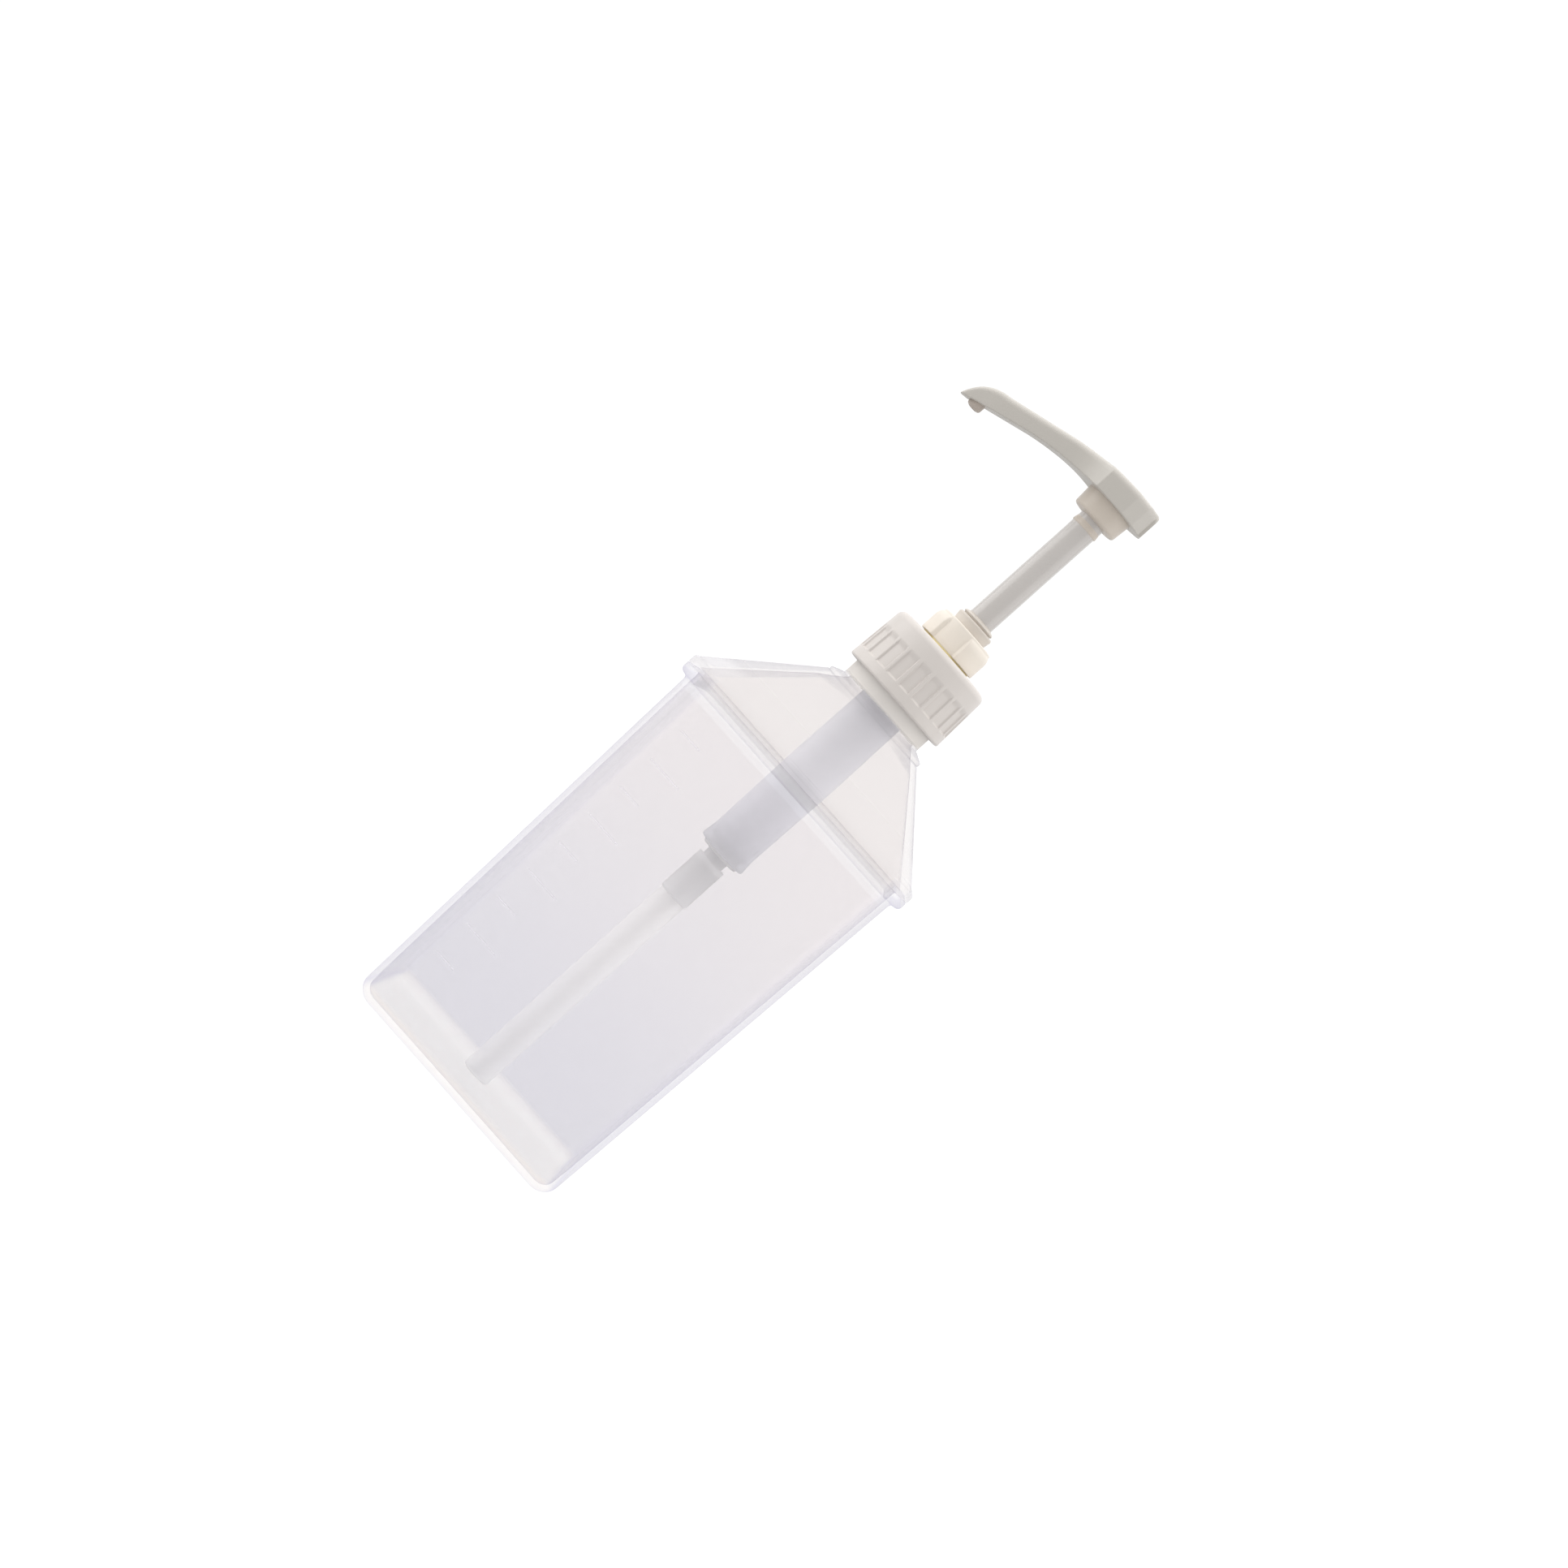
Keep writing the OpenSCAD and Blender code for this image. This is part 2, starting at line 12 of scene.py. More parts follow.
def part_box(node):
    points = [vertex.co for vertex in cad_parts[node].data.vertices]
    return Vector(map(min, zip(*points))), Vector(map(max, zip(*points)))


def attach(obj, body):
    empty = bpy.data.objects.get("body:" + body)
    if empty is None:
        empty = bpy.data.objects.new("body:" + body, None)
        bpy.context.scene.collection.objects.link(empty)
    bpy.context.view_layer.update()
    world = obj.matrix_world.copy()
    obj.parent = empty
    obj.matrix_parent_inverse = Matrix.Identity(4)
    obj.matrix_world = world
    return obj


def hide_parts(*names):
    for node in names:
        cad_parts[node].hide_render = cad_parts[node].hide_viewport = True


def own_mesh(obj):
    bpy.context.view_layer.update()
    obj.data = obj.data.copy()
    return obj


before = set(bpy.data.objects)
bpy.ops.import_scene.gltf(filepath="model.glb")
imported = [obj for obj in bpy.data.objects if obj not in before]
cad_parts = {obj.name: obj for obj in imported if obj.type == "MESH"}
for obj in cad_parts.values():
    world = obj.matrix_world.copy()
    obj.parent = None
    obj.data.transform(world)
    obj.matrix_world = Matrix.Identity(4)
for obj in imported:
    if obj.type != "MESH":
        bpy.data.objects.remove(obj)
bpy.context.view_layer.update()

MM = 0.001
TURN = 2 * math.pi


# ---------------------------------------------------------------- places, in millimetres
def node_box(node):
    """Lowest and highest corner of a CAD node, in millimetres."""
    low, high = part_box(node)
    return low / MM, high / MM


TUB_HIGH = node_box("bottle_body")[1]
HOOD_LOW, HOOD_HIGH = node_box("bottle_shoulder")
CAP_LOW, CAP_HIGH = node_box("screw_cap")
GASKET_LOW, GASKET_HIGH = node_box("nut_gasket")
NUT_LOW, NUT_HIGH = node_box("lock_nut")
BUSH_LOW, BUSH_HIGH = node_box("guide_bushing")
CYLINDER_LOW, CYLINDER_HIGH = node_box("pump_cylinder")
HOUSING_LOW, HOUSING_HIGH = node_box("valve_housing")
TUBE_LOW, TUBE_HIGH = node_box("dip_tube")
SPRING_LOW, SPRING_HIGH = node_box("return_spring")
FERRULE_LOW, FERRULE_HIGH = node_box("stem_ferrule")
COLLAR_LOW, COLLAR_HIGH = node_box("hub_collar")
HEAD_LOW, HEAD_HIGH = node_box("spout_head")
NOZZLE_LOW, NOZZLE_HIGH = node_box("nozzle_tip")
STEM_LOW, STEM_HIGH = node_box("stem")

RIM_HALF = TUB_HIGH.x
JOINT_Z = TUB_HIGH.z
BASE_HALF = RIM_HALF - 6.5
TOP_HALF = RIM_HALF - 3
WALL = 2.0
FLOOR_T = 2.4
RIM_T = 3.6
RIM_CORNER = 10.5
TUB_CORNER = 7.0
EDGE_R = 6.0
RIM_UNDER_R = 1.9
RIM_OVER_R = 1.3
SEAM_R = 0.45
SEAM = 0.04                 # half of the gap between the two rims
HOOD_CORNER = 4.3
HOOD_BASE_HALF = RIM_HALF - 1.4
HOOD_BASE_Z = JOINT_Z + RIM_T
HOOD_TOP_Z = JOINT_Z + 31.75
HOOD_SLOPE = 1.02
HOOD_SIDE = 2.9
DECK_T = 2.0
FLANGE_R = 21.7
FLANGE_T = 1.6
CONE_R = 18.2
CONE_H = 1.4
NECK_R = 17.55
NECK_BORE = 15.4
THREAD_R = 18.7
THREAD_PITCH = 4.23
THREAD_Z = 194.0
THREAD_TURNS = 2
MARK_STEP = 13.0
MARK_X = -36.0

CORNER_STEPS = 12           # straight runs in each corner of a square ring
SIDE_SHARES = (0.02, 0.16, 0.3, 0.4, 0.5, 0.6, 0.7, 0.84, 0.98)
SIDE_POINTS = len(SIDE_SHARES)
ROUND = 96                  # sides of a turned piece
STRAIGHT = math.radians(172)


# ---------------------------------------------------------------- mesh helpers
def make_object(name, points, faces, sharp_angle=None):
    """Object from points in millimetres, smooth, with normals led by the large faces."""
    mesh = bpy.data.meshes.new(name)
    mesh.from_pydata([Vector(p) * MM for p in points], [], faces)
    mesh.validate()
    mesh.polygons.foreach_set("use_smooth", [True] * len(mesh.polygons))
    if sharp_angle is not None:
        mesh.set_sharp_from_angle(angle=math.radians(sharp_angle))
    mesh.update()
    obj = bpy.data.objects.new(name, mesh)
    bpy.context.scene.collection.objects.link(obj)
    normals = obj.modifiers.new("face_weighted_normals", "WEIGHTED_NORMAL")
    normals.weight = 100
    normals.keep_sharp = sharp_angle is not None
    return obj


def skin(name, rings, closed=False, sharp_angle=None, capped=True):
    """Surface through rings of equally many points. Going up the outside, rings run anticlockwise."""
    count = len(rings[0])
    points = [p for ring in rings for p in ring]
    faces = []
    for i in range(len(rings) if closed else len(rings) - 1):
        a, b = i * count, (i + 1) % len(rings) * count
        for j in range(count):
            k = (j + 1) % count
            faces.append((a + j, a + k, b + k, b + j))
    if not closed and capped:
        faces.append(tuple(reversed(range(count))))
        faces.append(tuple(range(len(points) - count, len(points))))
    return make_object(name, points, faces, sharp_angle)


def square_ring(half, corner, z):
    """Square ring with round corners, anticlockwise from above. With corner equal to half it is a circle."""
    count = 4 * (CORNER_STEPS + 1 + SIDE_POINTS)
    if corner >= half - 1e-6:
        turn = TURN / count
        shift = turn * (0.5 + SIDE_POINTS / 2)
        return [(half * math.cos(shift + i * turn), half * math.sin(shift + i * turn), z)
                for i in range(count)]
    ring = []
    for quarter in range(4):
        start = quarter * math.pi / 2
        middle = start + math.pi / 4
        cx = (half - corner) * math.sqrt(2) * math.cos(middle)
        cy = (half - corner) * math.sqrt(2) * math.sin(middle)
        for i in range(CORNER_STEPS + 1):
            a = start + i / CORNER_STEPS * math.pi / 2
            ring.append((cx + corner * math.cos(a), cy + corner * math.sin(a), z))
        end, run = ring[-1], 2 * (half - corner)
        ahead = start + math.pi
        for share in SIDE_SHARES:
            ring.append((end[0] + run * share * math.cos(ahead), end[1] + run * share * math.sin(ahead), z))
    return ring


def quarter_rings(half, z, radius, start, steps=5):
    """Square rings round a rim's lower edge (start -90) or upper edge (start 0). Its face is at z."""
    centre_z = z + radius if start < 0 else z - radius
    rings = []
    for i in range(steps + 1):
        a = math.radians(start + 90 * i / steps)
        reach = half - radius + radius * math.cos(a)
        rings.append(square_ring(reach, RIM_CORNER, centre_z + radius * math.sin(a)))
    return rings


def circle_ring(radius, z, count=ROUND):
    return [(radius * math.cos(TURN * i / count), radius * math.sin(TURN * i / count), z)
            for i in range(count)]


def fillet(corners, steps=5):
    """Closed outline through (r, z, radius) corners. Each is rounded, unless it is nearly straight."""
    outline = []
    n = len(corners)
    for i, (r, z, radius) in enumerate(corners):
        here = Vector((r, z))
        before, after = (Vector(corners[k][:2]) - here for k in ((i - 1) % n, (i + 1) % n))
        if radius <= 0:
            outline.append((r, z))
            continue
        u, v = before.normalized(), after.normalized()
        angle = u.angle(v)
        if angle > STRAIGHT:
            outline.append((r, z))
            continue
        reach = min(radius / math.tan(angle / 2), 0.49 * before.length, 0.49 * after.length)
        true_r = reach * math.tan(angle / 2)
        centre = here + (u + v).normalized() * true_r / math.sin(angle / 2)
        first, last = here + u * reach - centre, here + v * reach - centre
        for k in range(steps + 1):
            q = first.slerp(last, k / steps) if first.angle(last) > 1e-4 else first
            outline.append(tuple(centre + q))
    return outline


def turned(name, corners, count=ROUND, x=0.0):
    """Ring turned about an axis at x, from a closed, anticlockwise outline of (r, z, fillet) corners."""
    rings = [[(px + x, py, pz) for px, py, pz in circle_ring(r, z, count)]
             for r, z in fillet(corners)]
    return skin(name, rings, closed=True)


def bent_by(rings, displace):
    """Moves each point of the rings in or out: displace(angle in degrees, z) gives the change of radius."""
    out = []
    for ring in rings:
        moved = []
        for x, y, z in ring:
            r = math.hypot(x, y)
            k = (r + displace(math.degrees(math.atan2(y, x)) % 360, z)) / r
            moved.append((x * k, y * k, z))
        out.append(moved)
    return out


def smooth_step(value, low, high):
    t = min(max((value - low) / (high - low), 0.0), 1.0)
    return t * t * (3 - 2 * t)


# ---------------------------------------------------------------- materials
def new_material(name):
    material = bpy.data.materials.new(name)
    material.use_nodes = True
    material.node_tree.nodes.clear()
    return material, material.node_tree


def add_node(tree, kind, **values):
    node = tree.nodes.new(kind)
    for key, value in values.items():
        if hasattr(node, key):
            setattr(node, key, value)
        else:
            node.inputs[key.replace("_", " ")].default_value = value
    return node


def noise(tree, scale, detail=2.0):
    """Noise in the model's own space, its size given in features per metre."""
    place = add_node(tree, "ShaderNodeTexCoord")
    texture = add_node(tree, "ShaderNodeTexNoise", Scale=scale, Detail=detail)
    tree.links.new(place.outputs["Object"], texture.inputs["Vector"])
    return texture.outputs["Fac"]


def remap(tree, value, low, high):
    """Runs a 0.3..0.7 noise value between low and high."""
    node = add_node(tree, "ShaderNodeMapRange")
    node.inputs["From Min"].default_value = 0.3
    node.inputs["From Max"].default_value = 0.7
    node.inputs["To Min"].default_value = low
    node.inputs["To Max"].default_value = high
    tree.links.new(value, node.inputs["Value"])
    return node.outputs["Result"]


def mix_colours(tree, share, first, second):
    """Colour between two, each a colour or another node's output."""
    mix = add_node(tree, "ShaderNodeMix", data_type="RGBA")
    tree.links.new(share, mix.inputs["Factor"])
    for socket, colour in zip(mix.inputs[6:8], (first, second)):
        if isinstance(colour, tuple):
            socket.default_value = (*colour, 1)
        else:
            tree.links.new(colour, socket)
    return mix.outputs[2]


def mottled(tree, colour, spread, scale):
    """Colour that drifts a little lighter and darker over the surface."""
    darker = tuple(c * (1 - spread) for c in colour)
    lighter = tuple(min(c * (1 + spread), 1) for c in colour)
    return mix_colours(tree, remap(tree, noise(tree, scale, 3), 0, 1), darker, lighter)


def bumped(tree, shader, scale, height):
    """Fine moulded grain, its height in metres."""
    bump = add_node(tree, "ShaderNodeBump", Strength=1.0, Distance=height)
    tree.links.new(noise(tree, scale, 1), bump.inputs["Height"])
    tree.links.new(bump.outputs["Normal"], shader.inputs["Normal"])


def show(tree, surface, kind="ShaderNodeOutputMaterial"):
    """Ends a material's or a world's tree with its surface."""
    output = add_node(tree, kind)
    tree.links.new(surface, output.inputs["Surface"])


def plastic(name, colour, rough, grain=500, height=0.000006, coat=0.0):
    """Opaque moulded plastic: a faint drift of colour and gloss, and a grain if height is above 0."""
    material, tree = new_material(name)
    shader = add_node(tree, "ShaderNodeBsdfPrincipled")
    shader.inputs["IOR"].default_value = 1.49
    shader.inputs["Coat Weight"].default_value = coat
    tree.links.new(mottled(tree, colour, 0.015, 60), shader.inputs["Base Color"])
    tree.links.new(remap(tree, noise(tree, 140), rough - 0.06, rough + 0.06), shader.inputs["Roughness"])
    if height > 0:
        bumped(tree, shader, grain, height)
    show(tree, shader.outputs["BSDF"])
    return material


def steel(name):
    """Drawn stainless wire and balls."""
    material, tree = new_material(name)
    shader = add_node(tree, "ShaderNodeBsdfPrincipled", Metallic=1.0)
    tree.links.new(mottled(tree, (0.62, 0.63, 0.64), 0.06, 300), shader.inputs["Base Color"])
    tree.links.new(remap(tree, noise(tree, 900), 0.2, 0.34), shader.inputs["Roughness"])
    show(tree, shader.outputs["BSDF"])
    return material


def smooth_ramp(tree, value, start, end, low=0.0, high=1.0):
    """Runs smoothly from low, where the value is at its start, to high, where it is at its end."""
    ramp = add_node(tree, "ShaderNodeMapRange", interpolation_type="SMOOTHSTEP")
    ramp.inputs["From Min"].default_value = start
    ramp.inputs["From Max"].default_value = end
    ramp.inputs["To Min"].default_value = low
    ramp.inputs["To Max"].default_value = high
    tree.links.new(value, ramp.inputs["Value"])
    return ramp.outputs["Result"]


def coordinate(tree, kind, axis):
    """One part of the place (Object) or the direction (Normal or Generated) that is being shaded."""
    place = add_node(tree, "ShaderNodeTexCoord")
    split = add_node(tree, "ShaderNodeSeparateXYZ")
    tree.links.new(place.outputs[kind], split.inputs["Vector"])
    return split.outputs[axis]


def above(tree, zone):
    """0 below a zone of heights in metres, 1 above it and a smooth run within it."""
    return smooth_ramp(tree, coordinate(tree, "Object", "Z"), *zone)


def below(tree, zone):
    return scaled(tree, above(tree, zone), 1, 0)


def facing_up(tree):
    """Runs from 0 on upright faces to 1 on level ones seen from above, in the model's own space."""
    return smooth_ramp(tree, coordinate(tree, "Normal", "Z"), 0.3, 0.8)


def mixed(tree, share, first, second):
    """Shader between two. The share is a number or another node's output."""
    mix = add_node(tree, "ShaderNodeMixShader")
    if isinstance(share, float):
        mix.inputs["Fac"].default_value = share
    else:
        tree.links.new(share, mix.inputs["Fac"])
    tree.links.new(first, mix.inputs[1])
    tree.links.new(second, mix.inputs[2])
    return mix.outputs["Shader"]


def milk(tree, colour):
    """Soft cloudiness: half of the light is scattered back and half goes on through."""
    scatter = add_node(tree, "ShaderNodeBsdfDiffuse")
    through = add_node(tree, "ShaderNodeBsdfTranslucent")
    scatter.inputs["Color"].default_value = (*colour, 1)
    through.inputs["Color"].default_value = (*colour, 1)
    return mixed(tree, 0.5, scatter.outputs["BSDF"], through.outputs["BSDF"])


def combined(tree, operation, first, second):
    """Two nodes' outputs multiplied, compared and so on."""
    node = add_node(tree, "ShaderNodeMath", operation=operation)
    tree.links.new(first, node.inputs[0])
    tree.links.new(second, node.inputs[1])
    return node.outputs["Value"]


def scaled(tree, value, low, high):
    """Runs a 0..1 value between low and high."""
    ramp = add_node(tree, "ShaderNodeMapRange")
    ramp.inputs["To Min"].default_value = low
    ramp.inputs["To Max"].default_value = high
    tree.links.new(value, ramp.inputs["Value"])
    return ramp.outputs["Result"]


def grazing(tree, power, low, high):
    """Runs from low, where the surface is seen square on, to high, where it is seen edge on."""
    facing = add_node(tree, "ShaderNodeLayerWeight", Blend=0.5)
    raised = add_node(tree, "ShaderNodeMath", operation="POWER")
    raised.inputs[1].default_value = power
    tree.links.new(facing.outputs["Facing"], raised.inputs[0])
    return scaled(tree, raised.outputs["Value"], low, high)


def see_through(tree, colour):
    passing = add_node(tree, "ShaderNodeBsdfTransparent")
    if isinstance(colour, tuple):
        passing.inputs["Color"].default_value = (*colour, 1)
    else:
        tree.links.new(colour, passing.inputs["Color"])
    return passing.outputs["BSDF"]


# Heights in metres between which one look of the clear plastic runs over into another.
WALL_ZONE = (0.01, 0.145)           # the tub's walls, more tinted towards the foot
PLATE_ZONE = (0.0055, 0.0075)       # top of the tub's floor
FOOT_ZONE = (0.004, 0.006)          # top of the rounded edge under the walls
RIM_FOOT_ZONE = (0.1415, 0.1425)
RIM_HEAD_ZONE = (0.1475, 0.1485)
SLOPE_ZONE = (0.156, 0.160)         # where the hood's slope begins
NECK_ZONE = (0.1835, 0.185)         # where the cloudy neck begins

EDGE_TINT = (0.965, 0.962, 0.985)
RIM_TINT = (0.995, 0.992, 0.992)
HOOD_EDGE_TINT = (0.80, 0.79, 0.82)
CORNER_TINT = (0.80, 0.79, 0.85)
FOOT_TINT = (0.93, 0.915, 0.915)
EDGE_MILK = 0.15
MILK_WHITE = (0.97, 0.96, 0.985)
CLEAR_TO_LIGHT = (0.99, 0.988, 0.992)


def corner_share(tree):
    """0 on faces square to the model's axes, 1 where a rounded corner or edge turns between two of them."""
    place = add_node(tree, "ShaderNodeTexCoord")
    size = add_node(tree, "ShaderNodeVectorMath", operation="ABSOLUTE")
    split = add_node(tree, "ShaderNodeSeparateXYZ")
    tree.links.new(place.outputs["Normal"], size.inputs[0])
    tree.links.new(size.outputs["Vector"], split.inputs["Vector"])
    largest = combined(tree, "MAXIMUM", split.outputs["X"], split.outputs["Y"])
    largest = combined(tree, "MAXIMUM", largest, split.outputs["Z"])
    return smooth_ramp(tree, largest, 0.998, 0.96)


def lit_through(tree, surface, clear_share, clear):
    """Ends a clear or milky wall's tree. Light from lamps and off matt things passes through it."""
    rays = add_node(tree, "ShaderNodeLightPath")
    either = combined(tree, "MAXIMUM", rays.outputs["Is Shadow Ray"], rays.outputs["Is Diffuse Ray"])
    share = scaled(tree, either, 0, clear_share)
    show(tree, mixed(tree, share, surface, see_through(tree, clear)))


def clear_plastic(name, tint_low, tint_high, haze, edge_tint=EDGE_TINT, edge=1.0,
                  gloss_rough=0.07, gloss_share=0.035):
    """Clear moulded plastic: each face tints what is behind it and adds gloss, and its edges are milkier.

    Returns the material, its node tree, and the shaders of its surface and its gloss.
    """
    material, tree = new_material(name)
    tint = mix_colours(tree, above(tree, WALL_ZONE), tint_low, tint_high)
    rim = combined(tree, "MULTIPLY", above(tree, RIM_FOOT_ZONE), below(tree, RIM_HEAD_ZONE))
    tint = mix_colours(tree, scaled(tree, rim, 0, 0.8), tint, RIM_TINT)
    edges = mix_colours(tree, above(tree, SLOPE_ZONE), EDGE_TINT, edge_tint)
    tint = mix_colours(tree, grazing(tree, 5, 0, edge), tint, edges)
    cloudy = mixed(tree, grazing(tree, 5, haze, haze + edge * EDGE_MILK), see_through(tree, tint),
                   milk(tree, MILK_WHITE))
    gloss = add_node(tree, "ShaderNodeBsdfGlossy")
    roughness = remap(tree, noise(tree, 60), gloss_rough * 0.8, gloss_rough * 1.2)
    tree.links.new(roughness, gloss.inputs["Roughness"])
    bumped(tree, gloss, 22, 0.00004)
    glossy = grazing(tree, 5, gloss_share, gloss_share + 0.2 * edge)
    return material, tree, mixed(tree, glossy, cloudy, gloss.outputs["BSDF"]), gloss.outputs["BSDF"]


def tub_plastic():
    """The tub's clear plastic, with darker rounded corners and a whiter, faintly patchy floor."""
    material, tree, surface, gloss = clear_plastic("clear_tub", (0.910, 0.905, 0.922),
                                                   (0.961, 0.948, 0.950), 0.06)
    corners = corner_share(tree)
    foot = combined(tree, "MULTIPLY", corners, below(tree, FOOT_ZONE))
    surface = mixed(tree, foot, surface, see_through(tree, FOOT_TINT))
    turning = combined(tree, "MULTIPLY", corners, grazing(tree, 2, 0, 1))
    surface = mixed(tree, turning, surface, see_through(tree, CORNER_TINT))
    patches = remap(tree, noise(tree, 260, 3), 0, 1)
    patchy = mix_colours(tree, patches, (0.995, 0.98, 0.965), (1.0, 1.0, 0.985))
    plate = mixed(tree, 0.03, see_through(tree, patchy), milk(tree, (1.0, 0.985, 0.975)))
    plate = mixed(tree, 0.03, plate, gloss)
    level = combined(tree, "MULTIPLY", below(tree, PLATE_ZONE), facing_up(tree))
    lit_through(tree, mixed(tree, level, surface, plate), 1.0, CLEAR_TO_LIGHT)
    return material


def hood_plastic():
    """The hood's clear plastic, with a cloudy neck."""
    material, tree, surface, _ = clear_plastic("clear_hood", (0.9, 0.89, 0.90), (0.942, 0.929, 0.925), 0.04,
                                               edge_tint=HOOD_EDGE_TINT, gloss_rough=0.22)
    frosted = add_node(tree, "ShaderNodeBsdfDiffuse", Color=(0.86, 0.82, 0.775, 1))
    glowing = add_node(tree, "ShaderNodeBsdfTranslucent", Color=(1.0, 0.97, 0.93, 1))
    frosted = mixed(tree, 0.2, frosted.outputs["BSDF"], glowing.outputs["BSDF"])
    warm = mixed(tree, 0.85, see_through(tree, (0.985, 0.965, 0.94)), frosted)
    surface = mixed(tree, above(tree, NECK_ZONE), surface, warm)
    lit_through(tree, surface, 1.0, CLEAR_TO_LIGHT)
    return material


def marks_plastic():
    """Matt, faintly cloudy lines on the tub's front."""
    tint = (0.995, 0.99, 0.995)
    material, tree, surface, _ = clear_plastic("clear_marks", tint, tint, 0.22, edge=0.0, gloss_share=0.0)
    lit_through(tree, surface, 1.0, CLEAR_TO_LIGHT)
    return material


def cloudy_plastic(name, colour, milkiness, rough=0.3, clear=0.0, lit=0.0):
    """Natural, uncoloured plastic: glossy outside, and light comes through it from behind."""
    material, tree = new_material(name)
    shader = add_node(tree, "ShaderNodeBsdfPrincipled")
    tree.links.new(mottled(tree, colour, 0.015, 60), shader.inputs["Base Color"])
    tree.links.new(remap(tree, noise(tree, 140), rough - 0.05, rough + 0.05), shader.inputs["Roughness"])
    bumped(tree, shader, 400, 0.000004)
    through = add_node(tree, "ShaderNodeBsdfTranslucent")
    through.inputs["Color"].default_value = (*colour, 1)
    surface = mixed(tree, milkiness, shader.outputs["BSDF"], through.outputs["BSDF"])
    if clear > 0:
        surface = mixed(tree, clear, surface, see_through(tree, colour))
    lit_through(tree, surface, lit, (0.97, 0.965, 0.97))
    return material


def paint(obj, material):
    obj.data.materials.clear()
    obj.data.materials.append(material)


def place(obj, body, nodes, material, slot):
    """Finishes a piece: what it rides on, which CAD nodes it stands for, and what it is made of."""
    paint(obj, material)
    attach(obj, body)
    if nodes:
        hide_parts(*nodes)


CLEAR_TUB = tub_plastic()
CLEAR_HOOD = hood_plastic()
CLEAR_MARKS = marks_plastic()
CAP_PLASTIC = plastic("cap_plastic", (0.655, 0.61, 0.575), 0.38)
GASKET_YELLOW = plastic("gasket_yellow", (0.80, 0.68, 0.34), 0.55)
CREAM_PLASTIC = cloudy_plastic("cream_plastic", (0.86, 0.79, 0.70), 0.05, 0.38)
# Painted shade: the same cream plastic as the nut, made darker for the bushing where it sits in shade under
# the collar and head.
CREAM_PLASTIC_SHADED = cloudy_plastic("cream_plastic_painted_shade", (0.68, 0.62, 0.555), 0.05, 0.38)
MILKY_PLASTIC = cloudy_plastic("milky_plastic", (0.90, 0.90, 0.93), 0.5, clear=0.3, lit=0.65)
HOUSING_PLASTIC = cloudy_plastic("housing_plastic", (1.0, 0.995, 0.995), 0.5, clear=0.05, lit=0.97)
TUBE_PLASTIC = cloudy_plastic("tube_plastic", (1.0, 0.995, 0.985), 0.5, clear=0.45, lit=0.9)
STEM_PLASTIC = plastic("stem_plastic", (0.53, 0.50, 0.475), 0.24, height=0.0, coat=0.6)
HEAD_PLASTIC = plastic("head_plastic", (0.515, 0.487, 0.445), 0.34)
COLLAR_PLASTIC = plastic("collar_plastic", (0.59, 0.525, 0.455), 0.34)
NOZZLE_PLASTIC = plastic("nozzle_plastic", (0.46, 0.40, 0.35), 0.4)
LINER_FOAM = plastic("liner_foam", (0.82, 0.79, 0.74), 0.8, 1500, 0.00002)
GREY_RUBBER = plastic("grey_rubber", (0.06, 0.065, 0.07), 0.7, 1500, 0.00001)
STEEL = steel("steel")


# ---------------------------------------------------------------- bottle
def tub_half(z):
    """Half width of the tub's outside at a height."""
    return BASE_HALF + (TOP_HALF - BASE_HALF) * z / JOINT_Z


def floor_rings(low_z, crown, outward):
    """Domed floor from its middle to its edge. The inside runs back, and has a round moulding ridge."""
    edge_half = BASE_HALF - EDGE_R

    def dome(half):
        return low_z + crown * (1 - (half / edge_half) ** 2)

    rings = []
    for r, ridge in ((0.6, 0), (4.2, 0), (4.5, 0.25), (5.0, 0.25), (5.3, 0), (9, 0), (14, 0)):
        rings.append(square_ring(r, r, dome(r) + (0 if outward else ridge)))
    for half, corner in ((20, 12), (26, 10), (31, 7), (35, 4), (edge_half, 1)):
        rings.append(square_ring(half, corner, dome(half)))
    return rings if outward else rings[::-1]


def cove(x, y):
    """How much higher the soft inner corner along the floor stands in the middle of each side."""
    return 2.2 * (1 - smooth_step(min(abs(x), abs(y)), 6, 30))


